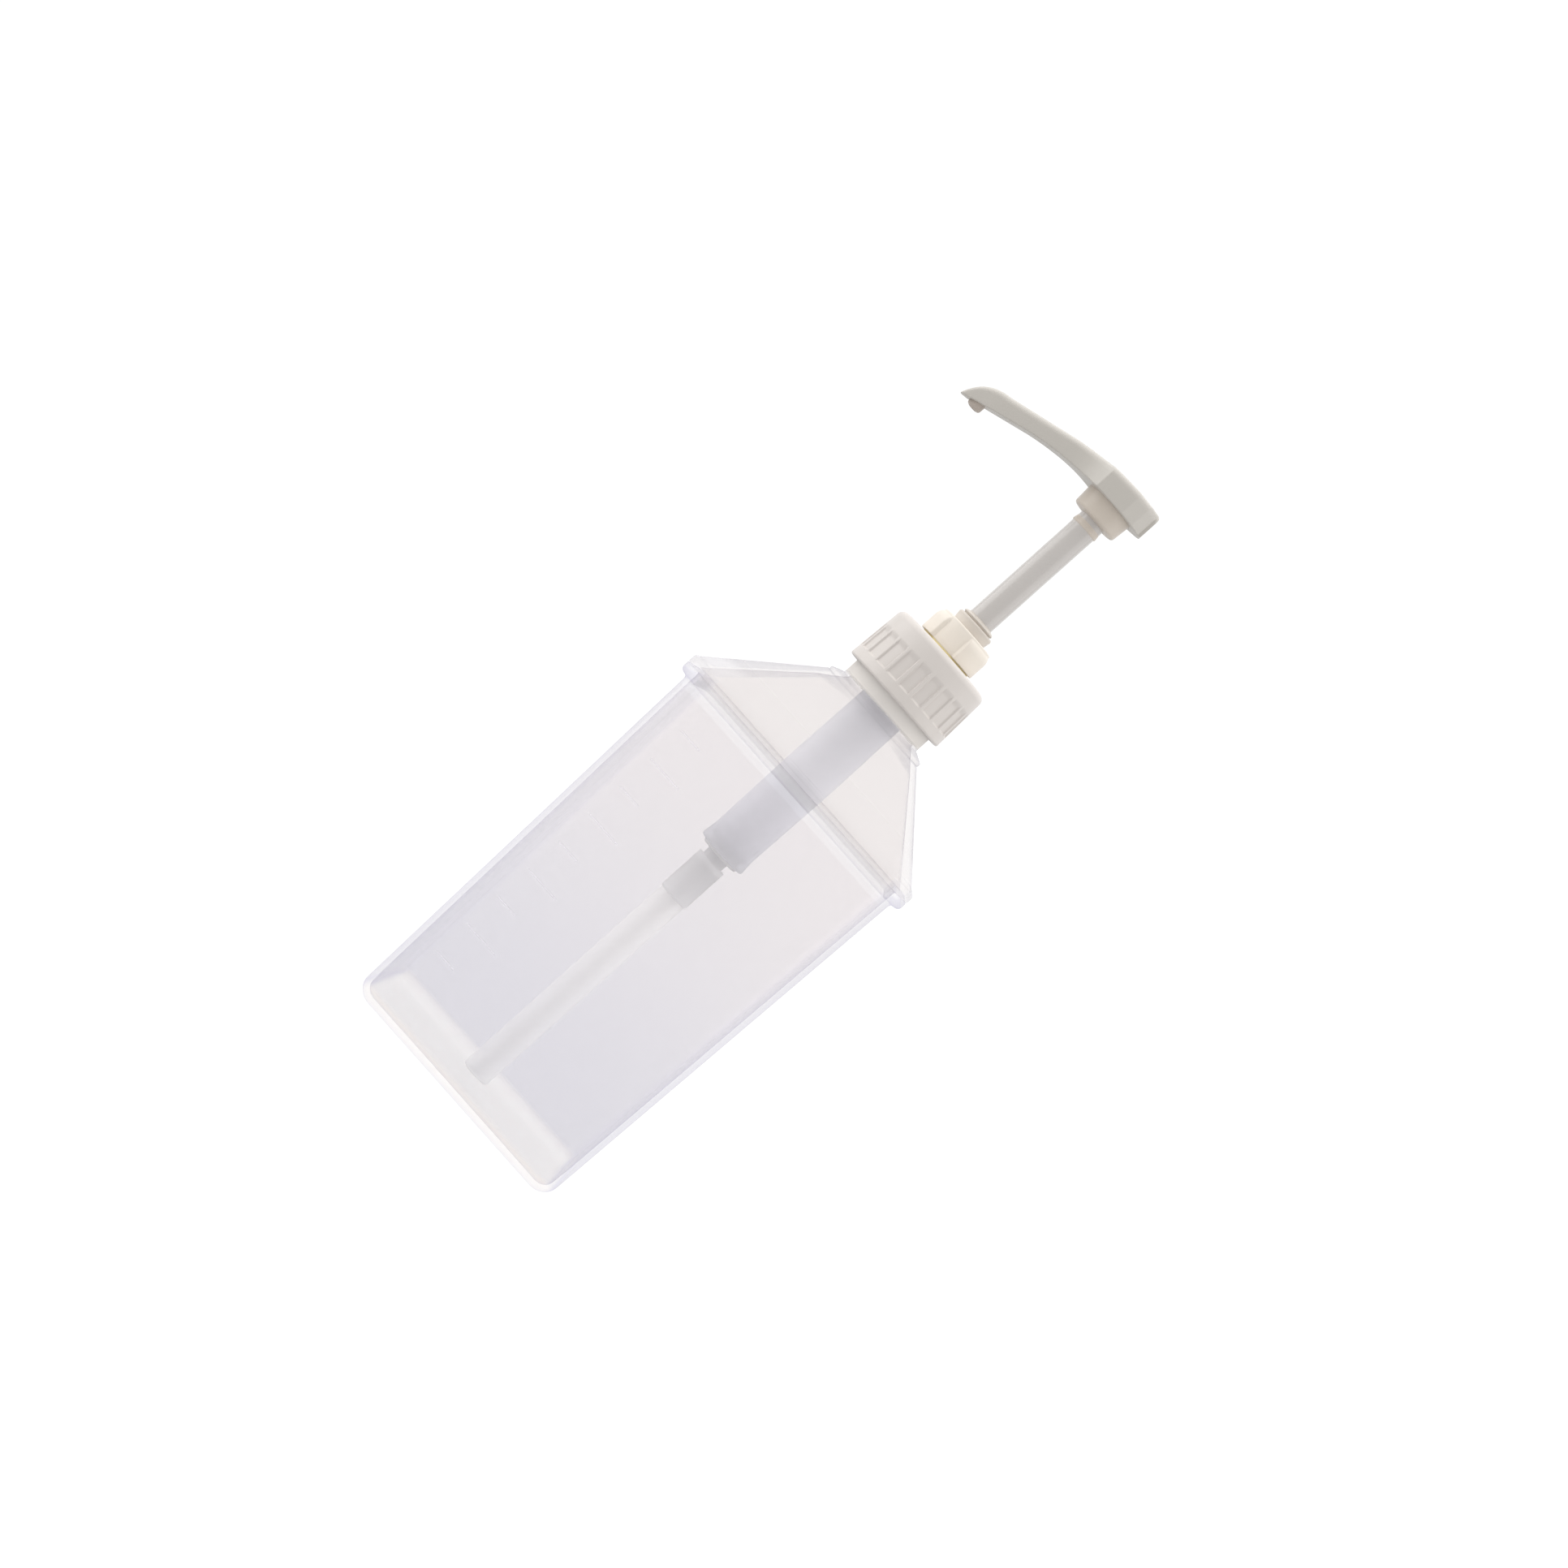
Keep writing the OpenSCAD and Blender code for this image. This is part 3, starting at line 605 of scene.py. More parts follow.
def build_tub():
    """Square tub: domed floor, drafted walls and a rolled rim."""
    rings = floor_rings(0.0, 2.0, True)
    for i in range(1, 9):
        a = i / 8 * math.pi / 2
        half = tub_half(0) - EDGE_R + (EDGE_R + tub_half(EDGE_R) - tub_half(0)) * math.sin(a)
        rings.append(square_ring(half, 1 + (TUB_CORNER - 1) * math.sin(a), EDGE_R * (1 - math.cos(a))))
    rim_low = JOINT_Z - RIM_T
    for z in (40, 75, 110, rim_low - 1.0):
        rings.append(square_ring(tub_half(z), TUB_CORNER, z))
    rings.append(square_ring(tub_half(rim_low) + 0.3, TUB_CORNER + 0.3, rim_low - 0.2))
    rings += quarter_rings(RIM_HALF, rim_low, RIM_UNDER_R, -90)
    top_z = JOINT_Z - SEAM
    rings += quarter_rings(RIM_HALF, top_z, SEAM_R, 0)
    inner_corner = TUB_CORNER - WALL
    rings.append(square_ring(tub_half(JOINT_Z) - WALL + 0.4, inner_corner + 0.4, top_z))
    rings.append(square_ring(tub_half(JOINT_Z) - WALL, inner_corner, top_z - 0.4))
    inner_r = EDGE_R - WALL
    for z in (110, 75, 40, 12):
        rings.append(square_ring(tub_half(z) - WALL, inner_corner, z))
    for i in range(8, 0, -1):
        a = i / 8 * math.pi / 2
        half = tub_half(0) - WALL - inner_r + inner_r * math.sin(a)
        z = FLOOR_T + inner_r * (1 - math.cos(a))
        ring = square_ring(half, 1 + (inner_corner - 1) * math.sin(a), z)
        rings.append([(px, py, pz + cove(px, py) * i / 8) for px, py, pz in ring])
    rings += floor_rings(FLOOR_T, 2.3, False)
    return skin("bottle_tub", rings)


def build_marks():
    """Raised graduation lines on the front, one each 13 mm of height, short and long by turns."""
    points, faces = [], []
    for i in range(2, 11):
        low = 2 + i * MARK_STEP
        high = low + 0.6
        length = 8.5 if i % 2 == 0 else 13.0
        x0, x1 = MARK_X, MARK_X + length
        front = -tub_half(low) - 0.15
        back = -tub_half(low) + 0.02
        start = len(points)
        for x, inset in ((x0, 0.15), (x0 + 0.3, 0.0), (x1 - 0.3, 0.0), (x1, 0.15)):
            face = front + inset
            points += [(x, back, low), (x, face, low + 0.15), (x, face, high - 0.15), (x, back, high)]
        for k in range(3):
            a = start + 4 * k
            faces += [(a + j, a + (j + 1) % 4, a + 4 + (j + 1) % 4, a + 4 + j) for j in range(4)]
        faces += [(start + 3, start + 2, start + 1, start), tuple(start + 12 + j for j in range(4))]
    return make_object("graduation_marks", points, faces)


def thread_ridge(angle, z):
    """Height of the neck's thread at a place on its wall."""
    turns = (z - THREAD_Z) / THREAD_PITCH - angle / 360
    nearest = min(max(round(turns), 0), THREAD_TURNS - 1)
    away = abs(turns - nearest) * THREAD_PITCH
    along = nearest * 360 + angle
    ends = smooth_step(along, 0, 25) * smooth_step(THREAD_TURNS * 360 - along, 0, 25)
    return (THREAD_R - NECK_R) * (1 - smooth_step(away, 0.35, 0.95)) * ends


SKIRT_LOW = HOOD_LOW.z
SKIRT_HALF = tub_half(SKIRT_LOW) - WALL - 0.05
SKIRT_CORNER = TUB_CORNER - WALL
SKIRT_T = 1.4


def hood_skirt_and_slope():
    """Outside of the hood from the skirt's lower edge, round the rim and up the slope."""
    low_z = JOINT_Z + SEAM
    rings = [square_ring(SKIRT_HALF - 0.3, SKIRT_CORNER, SKIRT_LOW),
             square_ring(SKIRT_HALF, SKIRT_CORNER, SKIRT_LOW + 0.4),
             square_ring(SKIRT_HALF, SKIRT_CORNER, JOINT_Z - 0.8),
             square_ring(SKIRT_HALF + 0.2, SKIRT_CORNER + 0.2, low_z)]
    rings += quarter_rings(RIM_HALF, low_z, SEAM_R, -90)
    rings += quarter_rings(RIM_HALF, HOOD_BASE_Z, RIM_OVER_R, 0)
    rings.append(square_ring(HOOD_BASE_HALF - 0.05, HOOD_CORNER + 3, HOOD_BASE_Z))
    for share in (0.012, 0.03, 0.35, 0.7, 0.985):
        z = HOOD_BASE_Z + (HOOD_TOP_Z - HOOD_BASE_Z) * share
        rings.append(square_ring(HOOD_BASE_HALF - (z - HOOD_BASE_Z) * HOOD_SLOPE, HOOD_CORNER, z))
    top_half = HOOD_BASE_HALF - (HOOD_TOP_Z - HOOD_BASE_Z) * HOOD_SLOPE
    rings.append(square_ring(top_half, HOOD_CORNER, HOOD_TOP_Z))
    return rings


def hood_neck():
    """Ring flange, cone and threaded neck, up to its rim and just into its bore."""
    flange_top = HOOD_TOP_Z + FLANGE_T
    cone_top = flange_top + CONE_H
    rings = []
    for r, z in ((FLANGE_R - 0.3, HOOD_TOP_Z), (FLANGE_R, HOOD_TOP_Z + 0.3), (FLANGE_R, flange_top - 0.5),
                 (FLANGE_R - 0.15, flange_top - 0.15), (FLANGE_R - 0.5, flange_top), (CONE_R, cone_top),
                 (NECK_R + 0.25, cone_top + 0.05), (NECK_R, cone_top + 0.3)):
        rings.append(square_ring(r, r, z))
    neck_top = HOOD_HIGH.z
    thread_low, thread_high = THREAD_Z - 2, THREAD_Z + THREAD_TURNS * THREAD_PITCH + 2
    steps = 44
    rings.append(square_ring(NECK_R, NECK_R, thread_low - 0.5))
    neck = [square_ring(NECK_R, NECK_R, thread_low + (thread_high - thread_low) * i / steps)
            for i in range(steps + 1)]
    rings += bent_by(neck, thread_ridge)
    for r, z in ((NECK_R, neck_top - 0.8), (NECK_R - 0.25, neck_top - 0.25), (NECK_R - 0.8, neck_top),
                 (NECK_BORE + 0.3, neck_top), (NECK_BORE, neck_top - 0.3)):
        rings.append(square_ring(r, r, z))
    return rings


def hood_inside():
    """Inside of the hood from the neck's bore down the slope to the skirt's lower edge."""
    inner_half = HOOD_BASE_HALF - HOOD_SIDE
    inner_low, inner_high = JOINT_Z + 1.4, HOOD_TOP_Z - DECK_T - 1.5
    inner_top_half = inner_half - (inner_high - HOOD_BASE_Z) * HOOD_SLOPE
    bore_low = inner_high + (inner_top_half - NECK_BORE) / HOOD_SLOPE
    rings = [square_ring(NECK_BORE, NECK_BORE, bore_low)]
    for i in range(1, 10):
        s = i / 10
        half = NECK_BORE + (inner_top_half - NECK_BORE) * s
        corner = half + (HOOD_CORNER - 1 - half) * s * s
        rings.append(square_ring(half, corner, bore_low + (inner_high - bore_low) * s))
    for share in (1.0, 0.97, 0.7, 0.35, 0.03, 0.0):
        half = inner_half + (inner_top_half - inner_half) * share
        rings.append(square_ring(half, HOOD_CORNER - 1, inner_low + (inner_high - inner_low) * share))
    rings += [square_ring(SKIRT_HALF - SKIRT_T, SKIRT_CORNER - SKIRT_T, inner_low),
              square_ring(SKIRT_HALF - SKIRT_T, SKIRT_CORNER - SKIRT_T, SKIRT_LOW + 0.4),
              square_ring(SKIRT_HALF - SKIRT_T + 0.3, SKIRT_CORNER - SKIRT_T + 0.3, SKIRT_LOW)]
    return rings


def build_hood():
    """Pyramid hood with its rim and skirt, ring flange and threaded neck, in one moulding."""
    return skin("bottle_hood", hood_skirt_and_slope() + hood_neck() + hood_inside(), closed=True)


# ---------------------------------------------------------------- cap and nut
CAP_R = CAP_HIGH.x
CAP_TAPER = 0.8             # how much the cap narrows from its lower edge to its crown
CAP_CROWN_R = 2.5
CAP_FOOT_R = 0.8
CAP_RIBS = 22
RIB_HALF_ANGLE = 1.3
RIB_FLANK = 1.3
FLUTE_LOW = CAP_LOW.z + 4
FLUTE_HIGH = FLUTE_LOW + 11.3
FLUTE_DEPTH = 0.65
FLUTE_FADE = 2.6
LEDGE = 0.7
CAP_BORE = 18.95
CAP_HOLE = 8.6
CAP_TOP_T = 2.1


def flute(angle, z):
    """Depth of the grip flutes between the cap's ribs, as a change of radius."""
    pitch = 360 / CAP_RIBS
    from_rib = abs((angle + pitch / 2) % pitch - pitch / 2)
    across = smooth_step(from_rib, RIB_HALF_ANGLE, RIB_HALF_ANGLE + RIB_FLANK)
    up = min(max((z - FLUTE_LOW) / LEDGE, 0), 1) * (1 - smooth_step(z, FLUTE_HIGH - FLUTE_FADE, FLUTE_HIGH))
    return -FLUTE_DEPTH * across * up


def cap_angles():
    """Angles round the cap, close together at each rib's sides."""
    pitch = 360 / CAP_RIBS
    half, foot = RIB_HALF_ANGLE, RIB_HALF_ANGLE + RIB_FLANK
    side = [half * 0.4, half] + [half + RIB_FLANK * k / 4 for k in (1, 2, 3)] + [foot, foot + 0.3, 5.2]
    offsets = [-o for o in reversed(side)] + side + [pitch / 2]
    return [i * pitch + o for i in range(CAP_RIBS) for o in offsets]


def ring_at(angles, r, z):
    return [(r * math.cos(math.radians(a)), r * math.sin(math.radians(a)), z) for a in angles]


def arc(cx, cy, radius, start, end, steps):
    """Points on a circle between two angles in degrees."""
    turns = [math.radians(start + (end - start) * i / steps) for i in range(steps + 1)]
    return [(cx + radius * math.cos(a), cy + radius * math.sin(a)) for a in turns]


def cap_wall(z):
    """Radius of the cap's tapering wall at a height."""
    low, high = CAP_LOW.z, CAP_HIGH.z
    return CAP_R - CAP_TAPER * (z - low) / (high - CAP_CROWN_R - low)


def build_cap():
    """Screw cap: plain skirt, ribbed grip with flutes, rounded crown and an open plain bore."""
    low, high = CAP_LOW.z, CAP_HIGH.z
    top_r = CAP_R - CAP_TAPER
    angles = cap_angles()
    grip = arc(CAP_R - CAP_FOOT_R, low + CAP_FOOT_R, CAP_FOOT_R, -90, 0, 5)
    heights = [low + 2, FLUTE_LOW - 0.05, FLUTE_LOW, FLUTE_LOW + LEDGE, FLUTE_LOW + LEDGE + 0.05,
               FLUTE_LOW + 1.5, FLUTE_LOW + 4.5, FLUTE_HIGH - FLUTE_FADE - 0.4]
    heights += [FLUTE_HIGH - FLUTE_FADE * (1 - i / 13) for i in range(14)] + [FLUTE_HIGH + 1.4]
    grip += [(cap_wall(z), z) for z in heights]
    rest = arc(top_r - CAP_CROWN_R, high - CAP_CROWN_R, CAP_CROWN_R, 0, 90, 10)
    deck = high - CAP_TOP_T
    rest += [(CAP_HOLE + 0.4, high), (CAP_HOLE, high - 0.4), (CAP_HOLE, deck + 0.2), (CAP_HOLE + 0.2, deck),
             (CAP_BORE - 1, deck), (CAP_BORE, deck - 1), (CAP_BORE, low + 0.8), (CAP_BORE + 0.5, low)]
    rings = bent_by([ring_at(angles, r, z) for r, z in grip], flute)
    rings += [ring_at(angles, r, z) for r, z in rest]
    return skin("screw_cap_ribbed", rings, closed=True)


NUT_R = 11.9
NUT_ROOT = 10.7
NUT_BORE = 8.55
NUT_DECK_T = 2.2
BUSH_HOLE = 6.75
LOBE_ROUND = 3.4            # height of the round over the lobes' upper edge
LOBE_PULL = 0.62 * LOBE_ROUND
LOBE_CENTRES = (77, 197, 317)
LOBE_HALF = 35
NUT_ANGLES = [i * 1.5 for i in range(240)]


def lobe_share(angle):
    """1 on a lobe of the nut, 0 in the hollow between two, with a soft flank."""
    away = min(abs((angle - c + 180) % 360 - 180) for c in LOBE_CENTRES)
    return 1 - smooth_step(away, LOBE_HALF - 4.0, LOBE_HALF + 0.5)


def soft_share(angle):
    return smooth_step(lobe_share(angle), 0, 1)


def lobed_ring(root, rise, share, z):
    """Ring round the nut, raised from its root by the share of the rise that each angle has."""
    reaches = [(root + rise * share(a), math.radians(a)) for a in NUT_ANGLES]
    return [(r * math.cos(a), r * math.sin(a), z) for r, a in reaches]


def build_nut():
    """Lock nut with three wide grip lobes, rounded over at the top, and a flat deck."""
    low, high = NUT_LOW.z, NUT_HIGH.z
    lobe_top = high - 0.4
    rings = []
    for change, z in ((-0.3, low), (0.0, low + 0.3), (0.0, low + 2.0), (0.0, lobe_top - 4.6)):
        rings.append(lobed_ring(NUT_ROOT + change, NUT_R - NUT_ROOT, lobe_share, z))
    for i in range(11):
        s = i / 10
        drop = LOBE_PULL * (1 - math.cos(math.asin(s)))
        rise = max(NUT_R - drop - NUT_ROOT, 0)
        rings.append(lobed_ring(NUT_ROOT, rise, soft_share, lobe_top - LOBE_ROUND * (1 - s)))
    deck = high - NUT_DECK_T
    for r, z in ((NUT_ROOT - 0.06, high - 0.28), (NUT_ROOT - 0.22, high - 0.1), (NUT_ROOT - 0.5, high),
                 (BUSH_HOLE + 0.25, high), (BUSH_HOLE, high - 0.25), (BUSH_HOLE, deck), (NUT_BORE, deck),
                 (NUT_BORE, low + 0.3), (NUT_BORE + 0.3, low)):
        rings.append(ring_at(NUT_ANGLES, r, z))
    return skin("lock_nut_lobed", rings, closed=True)


# ---------------------------------------------------------------- turned pieces
STEM_HOLE = 4.12            # radius of the hole in the pieces pressed on the stem


def sleeve(name, hole, r, low, high, rounds, **options):
    """Plain ring between two heights. rounds: inner low, outer low, outer high and inner high edges."""
    places = ((hole, low), (r, low), (r, high), (hole, high))
    return turned(name, [(*place_at, edge) for place_at, edge in zip(places, rounds)], **options)


def build_gasket():
    return sleeve("nut_gasket_ring", NUT_BORE, GASKET_HIGH.x, GASKET_LOW.z, GASKET_HIGH.z,
                  (0.1, 0.3, 0.3, 0.1))


def build_bushing():
    """Guide bushing: tail in the cylinder, flange under the nut's deck, collar and lip above it."""
    low, high = BUSH_LOW.z, BUSH_HIGH.z
    hole, tail = 4.15, 7.25
    flange_low, deck = CYLINDER_HIGH.z + 0.02, NUT_HIGH.z - NUT_DECK_T - 0.02
    wiper_top = low + 3.1
    return turned("guide_bushing_collar", [
        (6.2, low, 0.1), (tail, low, 0.3), (tail, flange_low, 0), (8.4, flange_low, 0.1), (8.4, deck, 0.1),
        (6.7, deck, 0), (6.7, high - 1.9, 0.3), (6.25, high - 1.5, 0.3), (6.05, high, 0.7),
        (4.5, high, 0.15), (hole, high - 0.5, 0.1), (hole, wiper_top, 0), (6.2, wiper_top, 0)])


def build_cylinder():
    """Pump cylinder: drafted barrel, a flange that hangs it in the cap, and a spigot for the nut."""
    low, high = CYLINDER_LOW.z, CYLINDER_HIGH.z
    flange_top = CAP_HIGH.z - CAP_TOP_T - 0.02
    bore, spigot = 7.3, 8.5
    return turned("pump_cylinder_barrel", [
        (6.2, low, 0.2), (8.9, low, 0.5), (8.9, low + 5, 0.3), (9.3, low + 40, 1),
        (9.3, flange_top - 1.8, 0.4), (13.4, flange_top - 1.8, 0.3), (13.4, flange_top, 0.3),
        (spigot, flange_top, 0.2), (spigot, high, 0.5), (bore, high, 0.3), (bore, low + 3.1, 0.4),
        (6.2, low + 3.1, 0.1)])


def build_housing():
    """Valve housing: plug, flange, socket and the tapered connector that grips the dip tube."""
    low, high = HOUSING_LOW.z, HOUSING_HIGH.z
    plug_low = CYLINDER_LOW.z
    socket_low = plug_low - 4.6
    seat_z = socket_low + 0.6
    tube_top = TUBE_HIGH.z + 0.02
    return turned("valve_housing_socket", [
        (4.52, low, 0.1), (4.9, low, 0.25), (5.2, socket_low, 0.5), (5.15, socket_low + 0.2, 0.1),
        (5.15, plug_low - 0.8, 0.2), (6.8, plug_low - 0.8, 0.25), (6.8, plug_low - 0.02, 0.1),
        (6.15, plug_low - 0.02, 0), (6.15, high, 0.2), (3.2, high, 0.1), (3.2, seat_z, 0.2),
        (1.9, seat_z, 0.1), (1.9, tube_top, 0.1), (4.52, tube_top, 0.1)])


def build_dip_tube():
    return sleeve("dip_tube_pipe", 3.4, TUBE_HIGH.x, TUBE_LOW.z, TUBE_HIGH.z,
                  (0.15, 0.2, 0.2, 0.15), count=64)


def build_stem():
    return sleeve("stem_rod", 1.9, STEM_HIGH.x - 0.05, STEM_LOW.z, STEM_HIGH.z, (0.1, 0.2, 0.1, 0.1))


def build_ferrule():
    """Tapered sleeve where the stem enters the head."""
    low, high, r = FERRULE_LOW.z, FERRULE_HIGH.z, FERRULE_HIGH.x - 0.1
    return turned("stem_ferrule_ring", [
        (STEM_HOLE, low, 0.03), (4.35, low, 0.1), (r, high - 0.3, 0.15), (r, high, 0.02),
        (STEM_HOLE, high, 0.02)])


def build_collar():
    return sleeve("hub_collar_ring", STEM_HOLE, COLLAR_HIGH.x - 0.3, COLLAR_LOW.z, COLLAR_HIGH.z,
                  (0.1, 0.5, 0.1, 0.1))


def build_nozzle():
    middle = (NOZZLE_LOW.x + NOZZLE_HIGH.x) / 2
    r = (NOZZLE_HIGH.x - NOZZLE_LOW.x) / 2
    return sleeve("nozzle_tip_stub", 1.4, r, NOZZLE_LOW.z, NOZZLE_HIGH.z,
                  (0.2, 0.35, 0.2, 0.2), count=64, x=middle)


def build_spring():
    """Return spring: round wire with close end turns, wound on the cylinder's axis."""
    wire, coil, turns, sides = 0.5, 5.6, 12, 10
    low, high = SPRING_LOW.z + wire, SPRING_HIGH.z - wire
    steps = turns * 32
    rings = []
    for i in range(steps + 1):
        s = i / steps
        rise = 0.5 - 0.5 * math.cos(math.pi * min(max((s - 0.02) / 0.96, 0), 1))
        z = low + (high - low) * (0.35 * rise + 0.65 * s)
        a = TURN * turns * s
        ring = []
        for k in range(sides):
            b = TURN * k / sides
            r = coil + wire * math.cos(b)
            ring.append((r * math.cos(a), r * math.sin(a), z - wire * math.sin(b)))
        rings.append(ring)
    return skin("return_spring_coil", rings)


# ---------------------------------------------------------------- head
HEAD_H = HEAD_HIGH.z - COLLAR_HIGH.z
HEAD_Z = COLLAR_HIGH.z + 0.02
REACH = -HEAD_LOW.x
REAR = HEAD_HIGH.x
HUB_HALF = HEAD_HIGH.y
REAR_R = 1.4                # round over the head's rear edge


def cubic(a, b, c, d, t):
    return (1 - t) ** 3 * a + 3 * (1 - t) ** 2 * t * b + 3 * (1 - t) * t * t * c + t ** 3 * d


def cubic_path(a, b, c, d, steps):
    return [tuple(cubic(a[k], b[k], c[k], d[k], i / steps) for k in (0, 1)) for i in range(steps + 1)]


def height_at(path, x):
    """Height of a left-to-right path at x."""
    if x <= path[0][0]:
        return path[0][1]
    for (x0, y0), (x1, y1) in zip(path, path[1:]):
        if x <= x1:
            return y0 + (y1 - y0) * (x - x0) / max(x1 - x0, 1e-9)
    return path[-1][1]


def head_underside():
    path = cubic_path((-35, -3.6), (-26, -1.2), (-18, 0), (-9.0, 0), 14)
    return [(-REACH, -11.3), (-57.4, -10.8), (-55.8, -10.1)] + path + [(REAR, 0)]


def head_top():
    nose = cubic_path((-REACH, -11.3), (-58.6, -5.4), (-54.8, -1.4), (-47.5, -0.3), 20)
    back = cubic_path((-22, HEAD_H - 2.6), (-15, HEAD_H - 1.1), (-8, HEAD_H - 0.3), (3, HEAD_H), 14)
    return nose + back + [(REAR, HEAD_H)]


def head_plan():
    tip = cubic_path((-59.5, 3), (-57, 4.2), (-50, 4.6), (-36, 4.9), 12)
    flare = [(-22.9 + 20 * math.sin(math.radians(a)), 5.3 + 20 * (1 - math.cos(math.radians(a))))
             for a in range(0, 51, 5)]
    corners = [flare[-1], (-6.1, HUB_HALF), (4.6, HUB_HALF), (9.6, HUB_HALF - 3.9), (REAR, 5), (REAR, 0)]
    rounds = (0, 2.0, 1.8, 3.0, 2.0, 0)
    hub = fillet([(x, y, r) for (x, y), r in zip(corners, rounds)], 6)[1:-1]
    return [(-REACH, 1.9)] + tip + flare + hub


def head_stations():
    """Places along the spout where its section is taken: close together at the nose and at each edge."""
    nose = [-REACH + 3.2 * (i / 12) ** 2 for i in range(13)]
    along = [-56.5, -55.5, -54.4, -53.2, -52, -50.5, -49, -47.5, -45, -42, -39, -36, -33, -30, -27, -24]
    flare = [-24 + i * 0.9 for i in range(1, 18)]
    hub = [-8.4 + i * 0.3 for i in range(11)] + [-4, 0, 3] + [4 + i * 0.3 for i in range(9)] + [7.2]
    hub += [8.2 + i * 0.3 for i in range(9)] + [11.6, 12.4, 12.8]
    hub += [REAR - REAR_R * (1 - math.sin(i * math.pi / 20)) for i in range(11)]
    return nose + along + flare + hub


def head_section(x):
    """Section of the head across X: flat underside, upright sides and a rounded top edge."""
    half = height_at(head_plan(), x)
    end = min(max((REAR - x) / REAR_R, 0), 1)
    pull = REAR_R * (1 - math.sqrt(1 - (1 - end) ** 2))
    low, high = height_at(head_underside(), x) + pull * 0.3, height_at(head_top(), x) - pull
    tall = max(high - low, 0.02)
    top_r = min(2.6, 0.55 * half, 0.6 * tall)
    low_r = min(0.45, 0.2 * half, 0.2 * tall)
    side = arc(half - low_r, low + low_r, low_r, -90, 0, 4)
    side += [(half, low + low_r + (tall - low_r - top_r) * s) for s in (0.33, 0.66)]
    side += arc(half - top_r, high - top_r, top_r, 0, 90, 8)
    middle = [(half - top_r) * s for s in (0.66, 0.33)]
    right = side + [(y, high) for y in middle] + [(0, high)]
    left = [(-y, z) for y, z in reversed(right[:-1])]
    base = [(-(half - low_r) * 0.5, low), (0, low), ((half - low_r) * 0.5, low)]
    return [(x, y, z + HEAD_Z) for y, z in right + left + base]


def build_head():
    return skin("spout_head_shell", [head_section(x) for x in head_stations()], sharp_angle=40)


# ---------------------------------------------------------------- putting it together
def build_object():
    place(build_tub(), "bottle", ["bottle_body"], CLEAR_TUB, "clear_plastic")
    place(build_marks(), "bottle", [], CLEAR_MARKS, "clear_plastic")
    place(build_hood(), "bottle", ["bottle_shoulder"], CLEAR_HOOD, "clear_plastic")
    place(build_cap(), "closure", ["screw_cap"], CAP_PLASTIC, "cap_plastic")
    place(build_nut(), "closure", ["lock_nut"], CREAM_PLASTIC, "cream_plastic")
    place(build_gasket(), "closure", ["nut_gasket"], GASKET_YELLOW, "gasket_yellow")
    # The bushing gets the darker copy of the cream plastic, which paints the shade under the collar and
    # head.
    place(build_bushing(), "closure", ["guide_bushing"], CREAM_PLASTIC_SHADED, "cream_plastic")
    place(build_cylinder(), "closure", ["pump_cylinder"], MILKY_PLASTIC, "milky_plastic")
    place(build_housing(), "closure", ["valve_housing"], HOUSING_PLASTIC, "milky_plastic")
    place(build_dip_tube(), "closure", ["dip_tube"], TUBE_PLASTIC, "tube_plastic")
    place(build_stem(), "pump_head", ["stem"], STEM_PLASTIC, "stem_plastic")
    place(build_ferrule(), "pump_head", ["stem_ferrule"], COLLAR_PLASTIC, "collar_plastic")
    place(build_collar(), "pump_head", ["hub_collar"], COLLAR_PLASTIC, "collar_plastic")
    place(build_nozzle(), "pump_head", ["nozzle_tip"], NOZZLE_PLASTIC, "nozzle_plastic")
    place(build_head(), "pump_head", ["spout_head"], HEAD_PLASTIC, "head_plastic")
    spring = build_spring()
    place(spring, "closure", ["return_spring"], STEEL, "steel")
    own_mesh(spring)
    for node, material in (("cap_liner", LINER_FOAM), ("stem_wiper", GREY_RUBBER),
                           ("spring_seat", MILKY_PLASTIC), ("piston_seal", GREY_RUBBER),
                           ("piston_seat", MILKY_PLASTIC), ("inlet_ball", STEEL), ("outlet_ball", STEEL)):
        paint(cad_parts[node], material)


# ---------------------------------------------------------------- studio
def build_floor():
    """Pale light table, nearly shadowless."""
    side, z = 20.0, -0.0003
    mesh = bpy.data.meshes.new("floor")
    corners = ((-side, -side), (side, -side), (side, side), (-side, side))
    mesh.from_pydata([(*corner, z) for corner in corners], [], [(0, 1, 2, 3)])
    floor = bpy.data.objects.new("floor", mesh)
    bpy.context.scene.collection.objects.link(floor)
    material, tree = new_material("floor_white")
    shader = add_node(tree, "ShaderNodeBsdfPrincipled", Roughness=0.9)
    shader.inputs["Specular IOR Level"].default_value = 0.0
    shader.inputs["Emission Color"].default_value = (1, 1, 1, 1)
    rays = add_node(tree, "ShaderNodeLightPath")
    glow = scaled(tree, rays.outputs["Is Camera Ray"], 0.6, 0.93)
    tree.links.new(glow, shader.inputs["Emission Strength"])
    tree.links.new(mottled(tree, (0.12, 0.12, 0.12), 0.004, 30), shader.inputs["Base Color"])
    show(tree, shader.outputs["BSDF"])
    floor.data.materials.append(material)


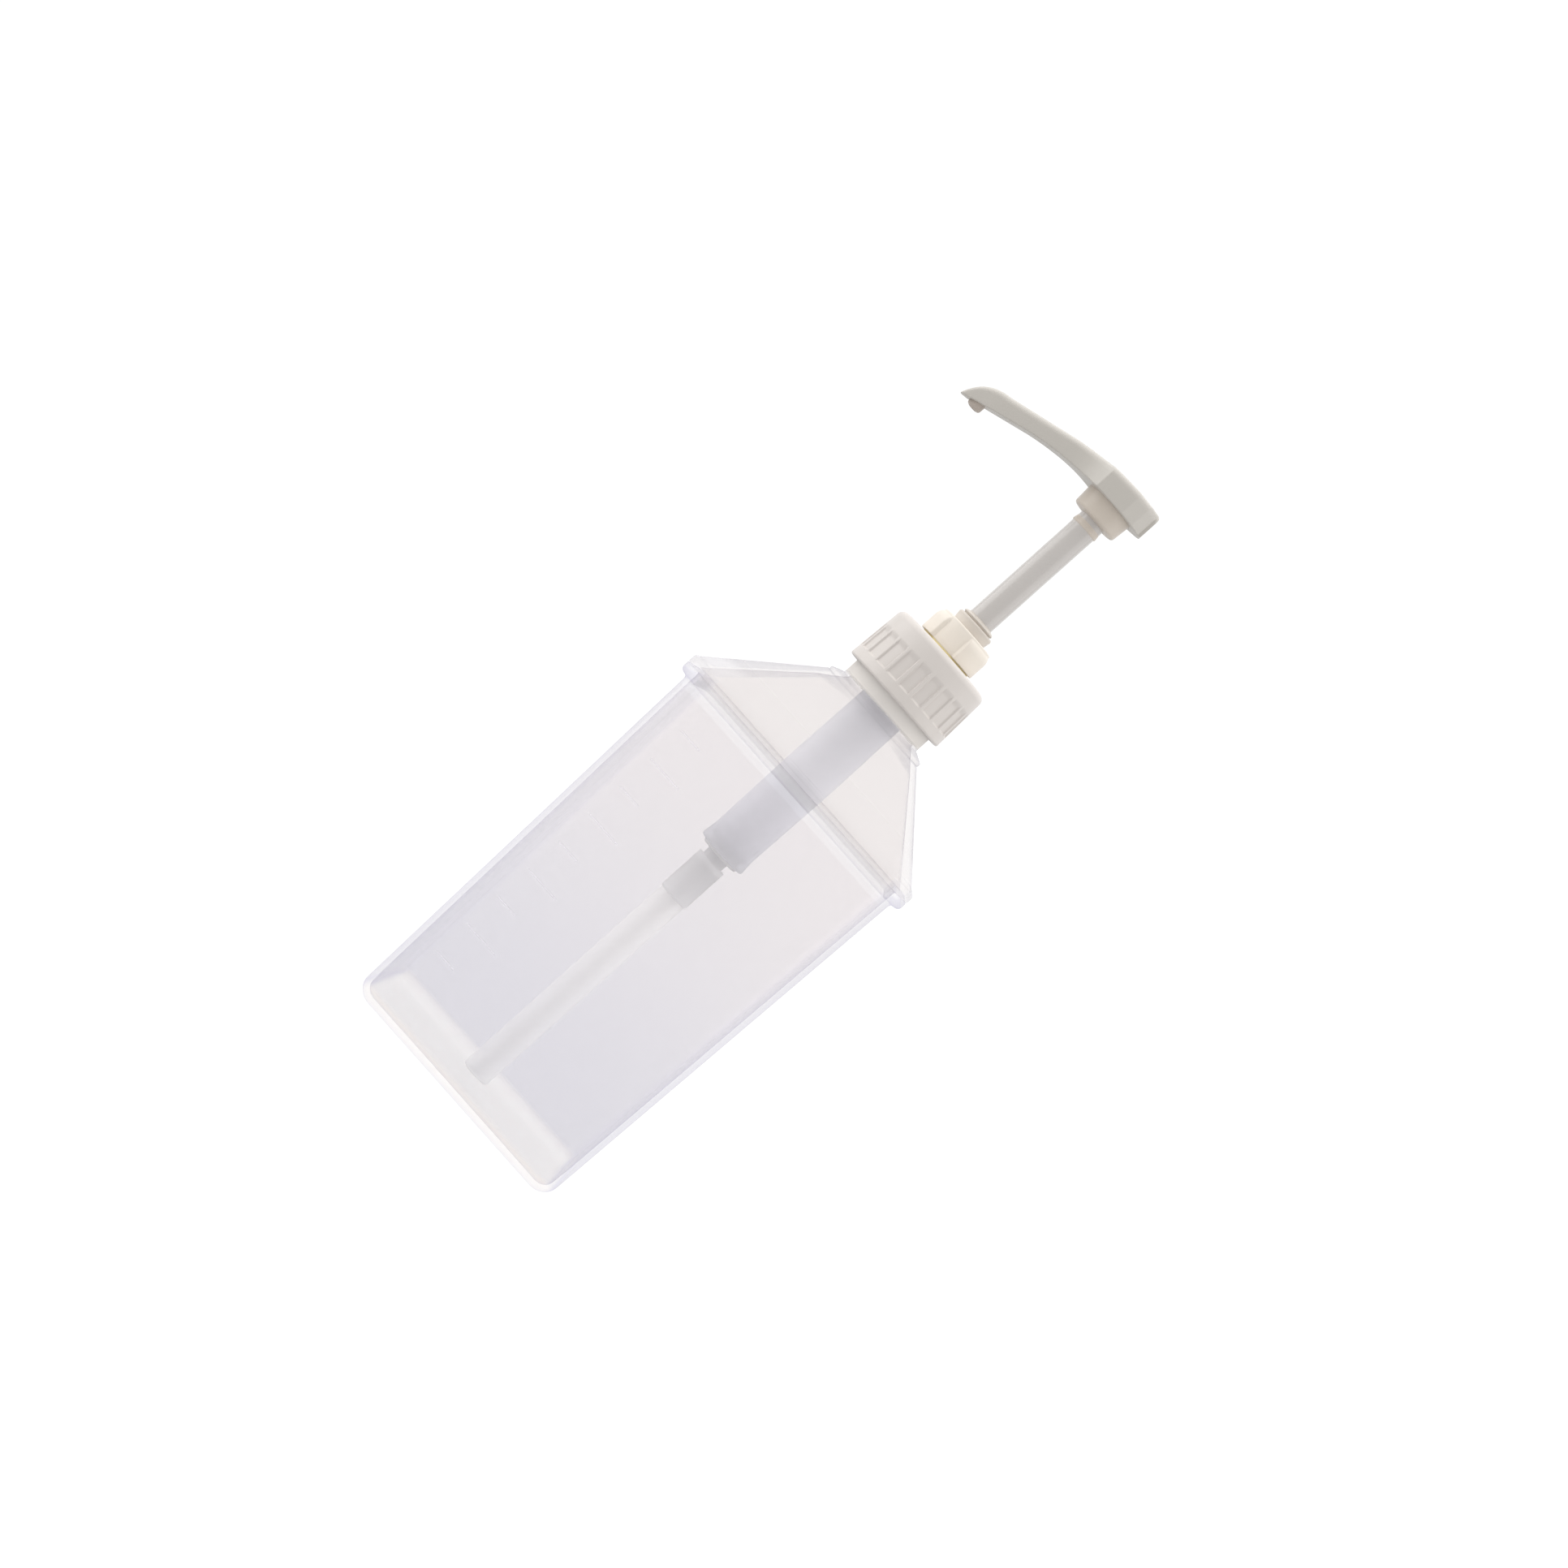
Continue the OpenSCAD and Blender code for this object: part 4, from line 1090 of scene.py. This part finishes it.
def build_world():
    """White studio that is dimmer in front of the object than behind it and at its sides."""
    world = bpy.data.worlds.new("studio")
    bpy.context.scene.world = world
    world.use_nodes = True
    tree = world.node_tree
    tree.nodes.clear()
    strength = smooth_ramp(tree, coordinate(tree, "Generated", "Y"), -1.0, 0.2, 0.82, 1.06)
    background = add_node(tree, "ShaderNodeBackground")
    background.inputs["Color"].default_value = (1, 1, 1, 1)
    tree.links.new(strength, background.inputs["Strength"])
    show(tree, background.outputs["Background"], "ShaderNodeOutputWorld")


def add_lamp(name, place_at, aim_at, size, power):
    data = bpy.data.lights.new(name, "AREA")
    data.shape = "SQUARE"
    data.size = size
    data.energy = power
    lamp = bpy.data.objects.new(name, data)
    bpy.context.scene.collection.objects.link(lamp)
    lamp.location = place_at
    lamp.rotation_mode = "QUATERNION"
    lamp.rotation_quaternion = (Vector(aim_at) - Vector(place_at)).to_track_quat("-Z", "Y")


def build_camera():
    """Camera a little right of the graduated face, rolled so that the object leans to the right."""
    distance, height = 1.104, 0.170
    azimuth, aim_left, pitch_down, roll = (math.radians(v) for v in (1.155, 0.17, 1.345, 48.2))
    data = bpy.data.cameras.new("camera")
    data.sensor_width = 36
    data.lens = 77.3
    data.clip_start, data.clip_end = 0.05, 50
    camera = bpy.data.objects.new("camera", data)
    bpy.context.scene.collection.objects.link(camera)
    turn = Matrix.Rotation(azimuth + aim_left, 4, "Z") @ Matrix.Rotation(math.pi / 2 - pitch_down, 4, "X")
    turn = turn @ Matrix.Rotation(roll, 4, "Z")
    spot = Vector((distance * math.sin(azimuth), -distance * math.cos(azimuth), height))
    camera.matrix_world = Matrix.Translation(spot) @ turn
    bpy.context.scene.camera = camera


def build_studio():
    build_floor()
    build_world()
    add_lamp("top_softbox", (-0.1, 0.2, 1.5), (0, 0, 0.1), 2.0, 13)
    add_lamp("left_softbox", (-1.19, -0.12, 0.45), (0, 0, 0.2), 1.2, 5.4)
    add_lamp("right_softbox", (1.17, -0.25, 0.45), (0, 0, 0.2), 1.2, 2.5)
    bpy.context.scene.view_settings.view_transform = "Standard"
    build_camera()


build_object()
build_studio()
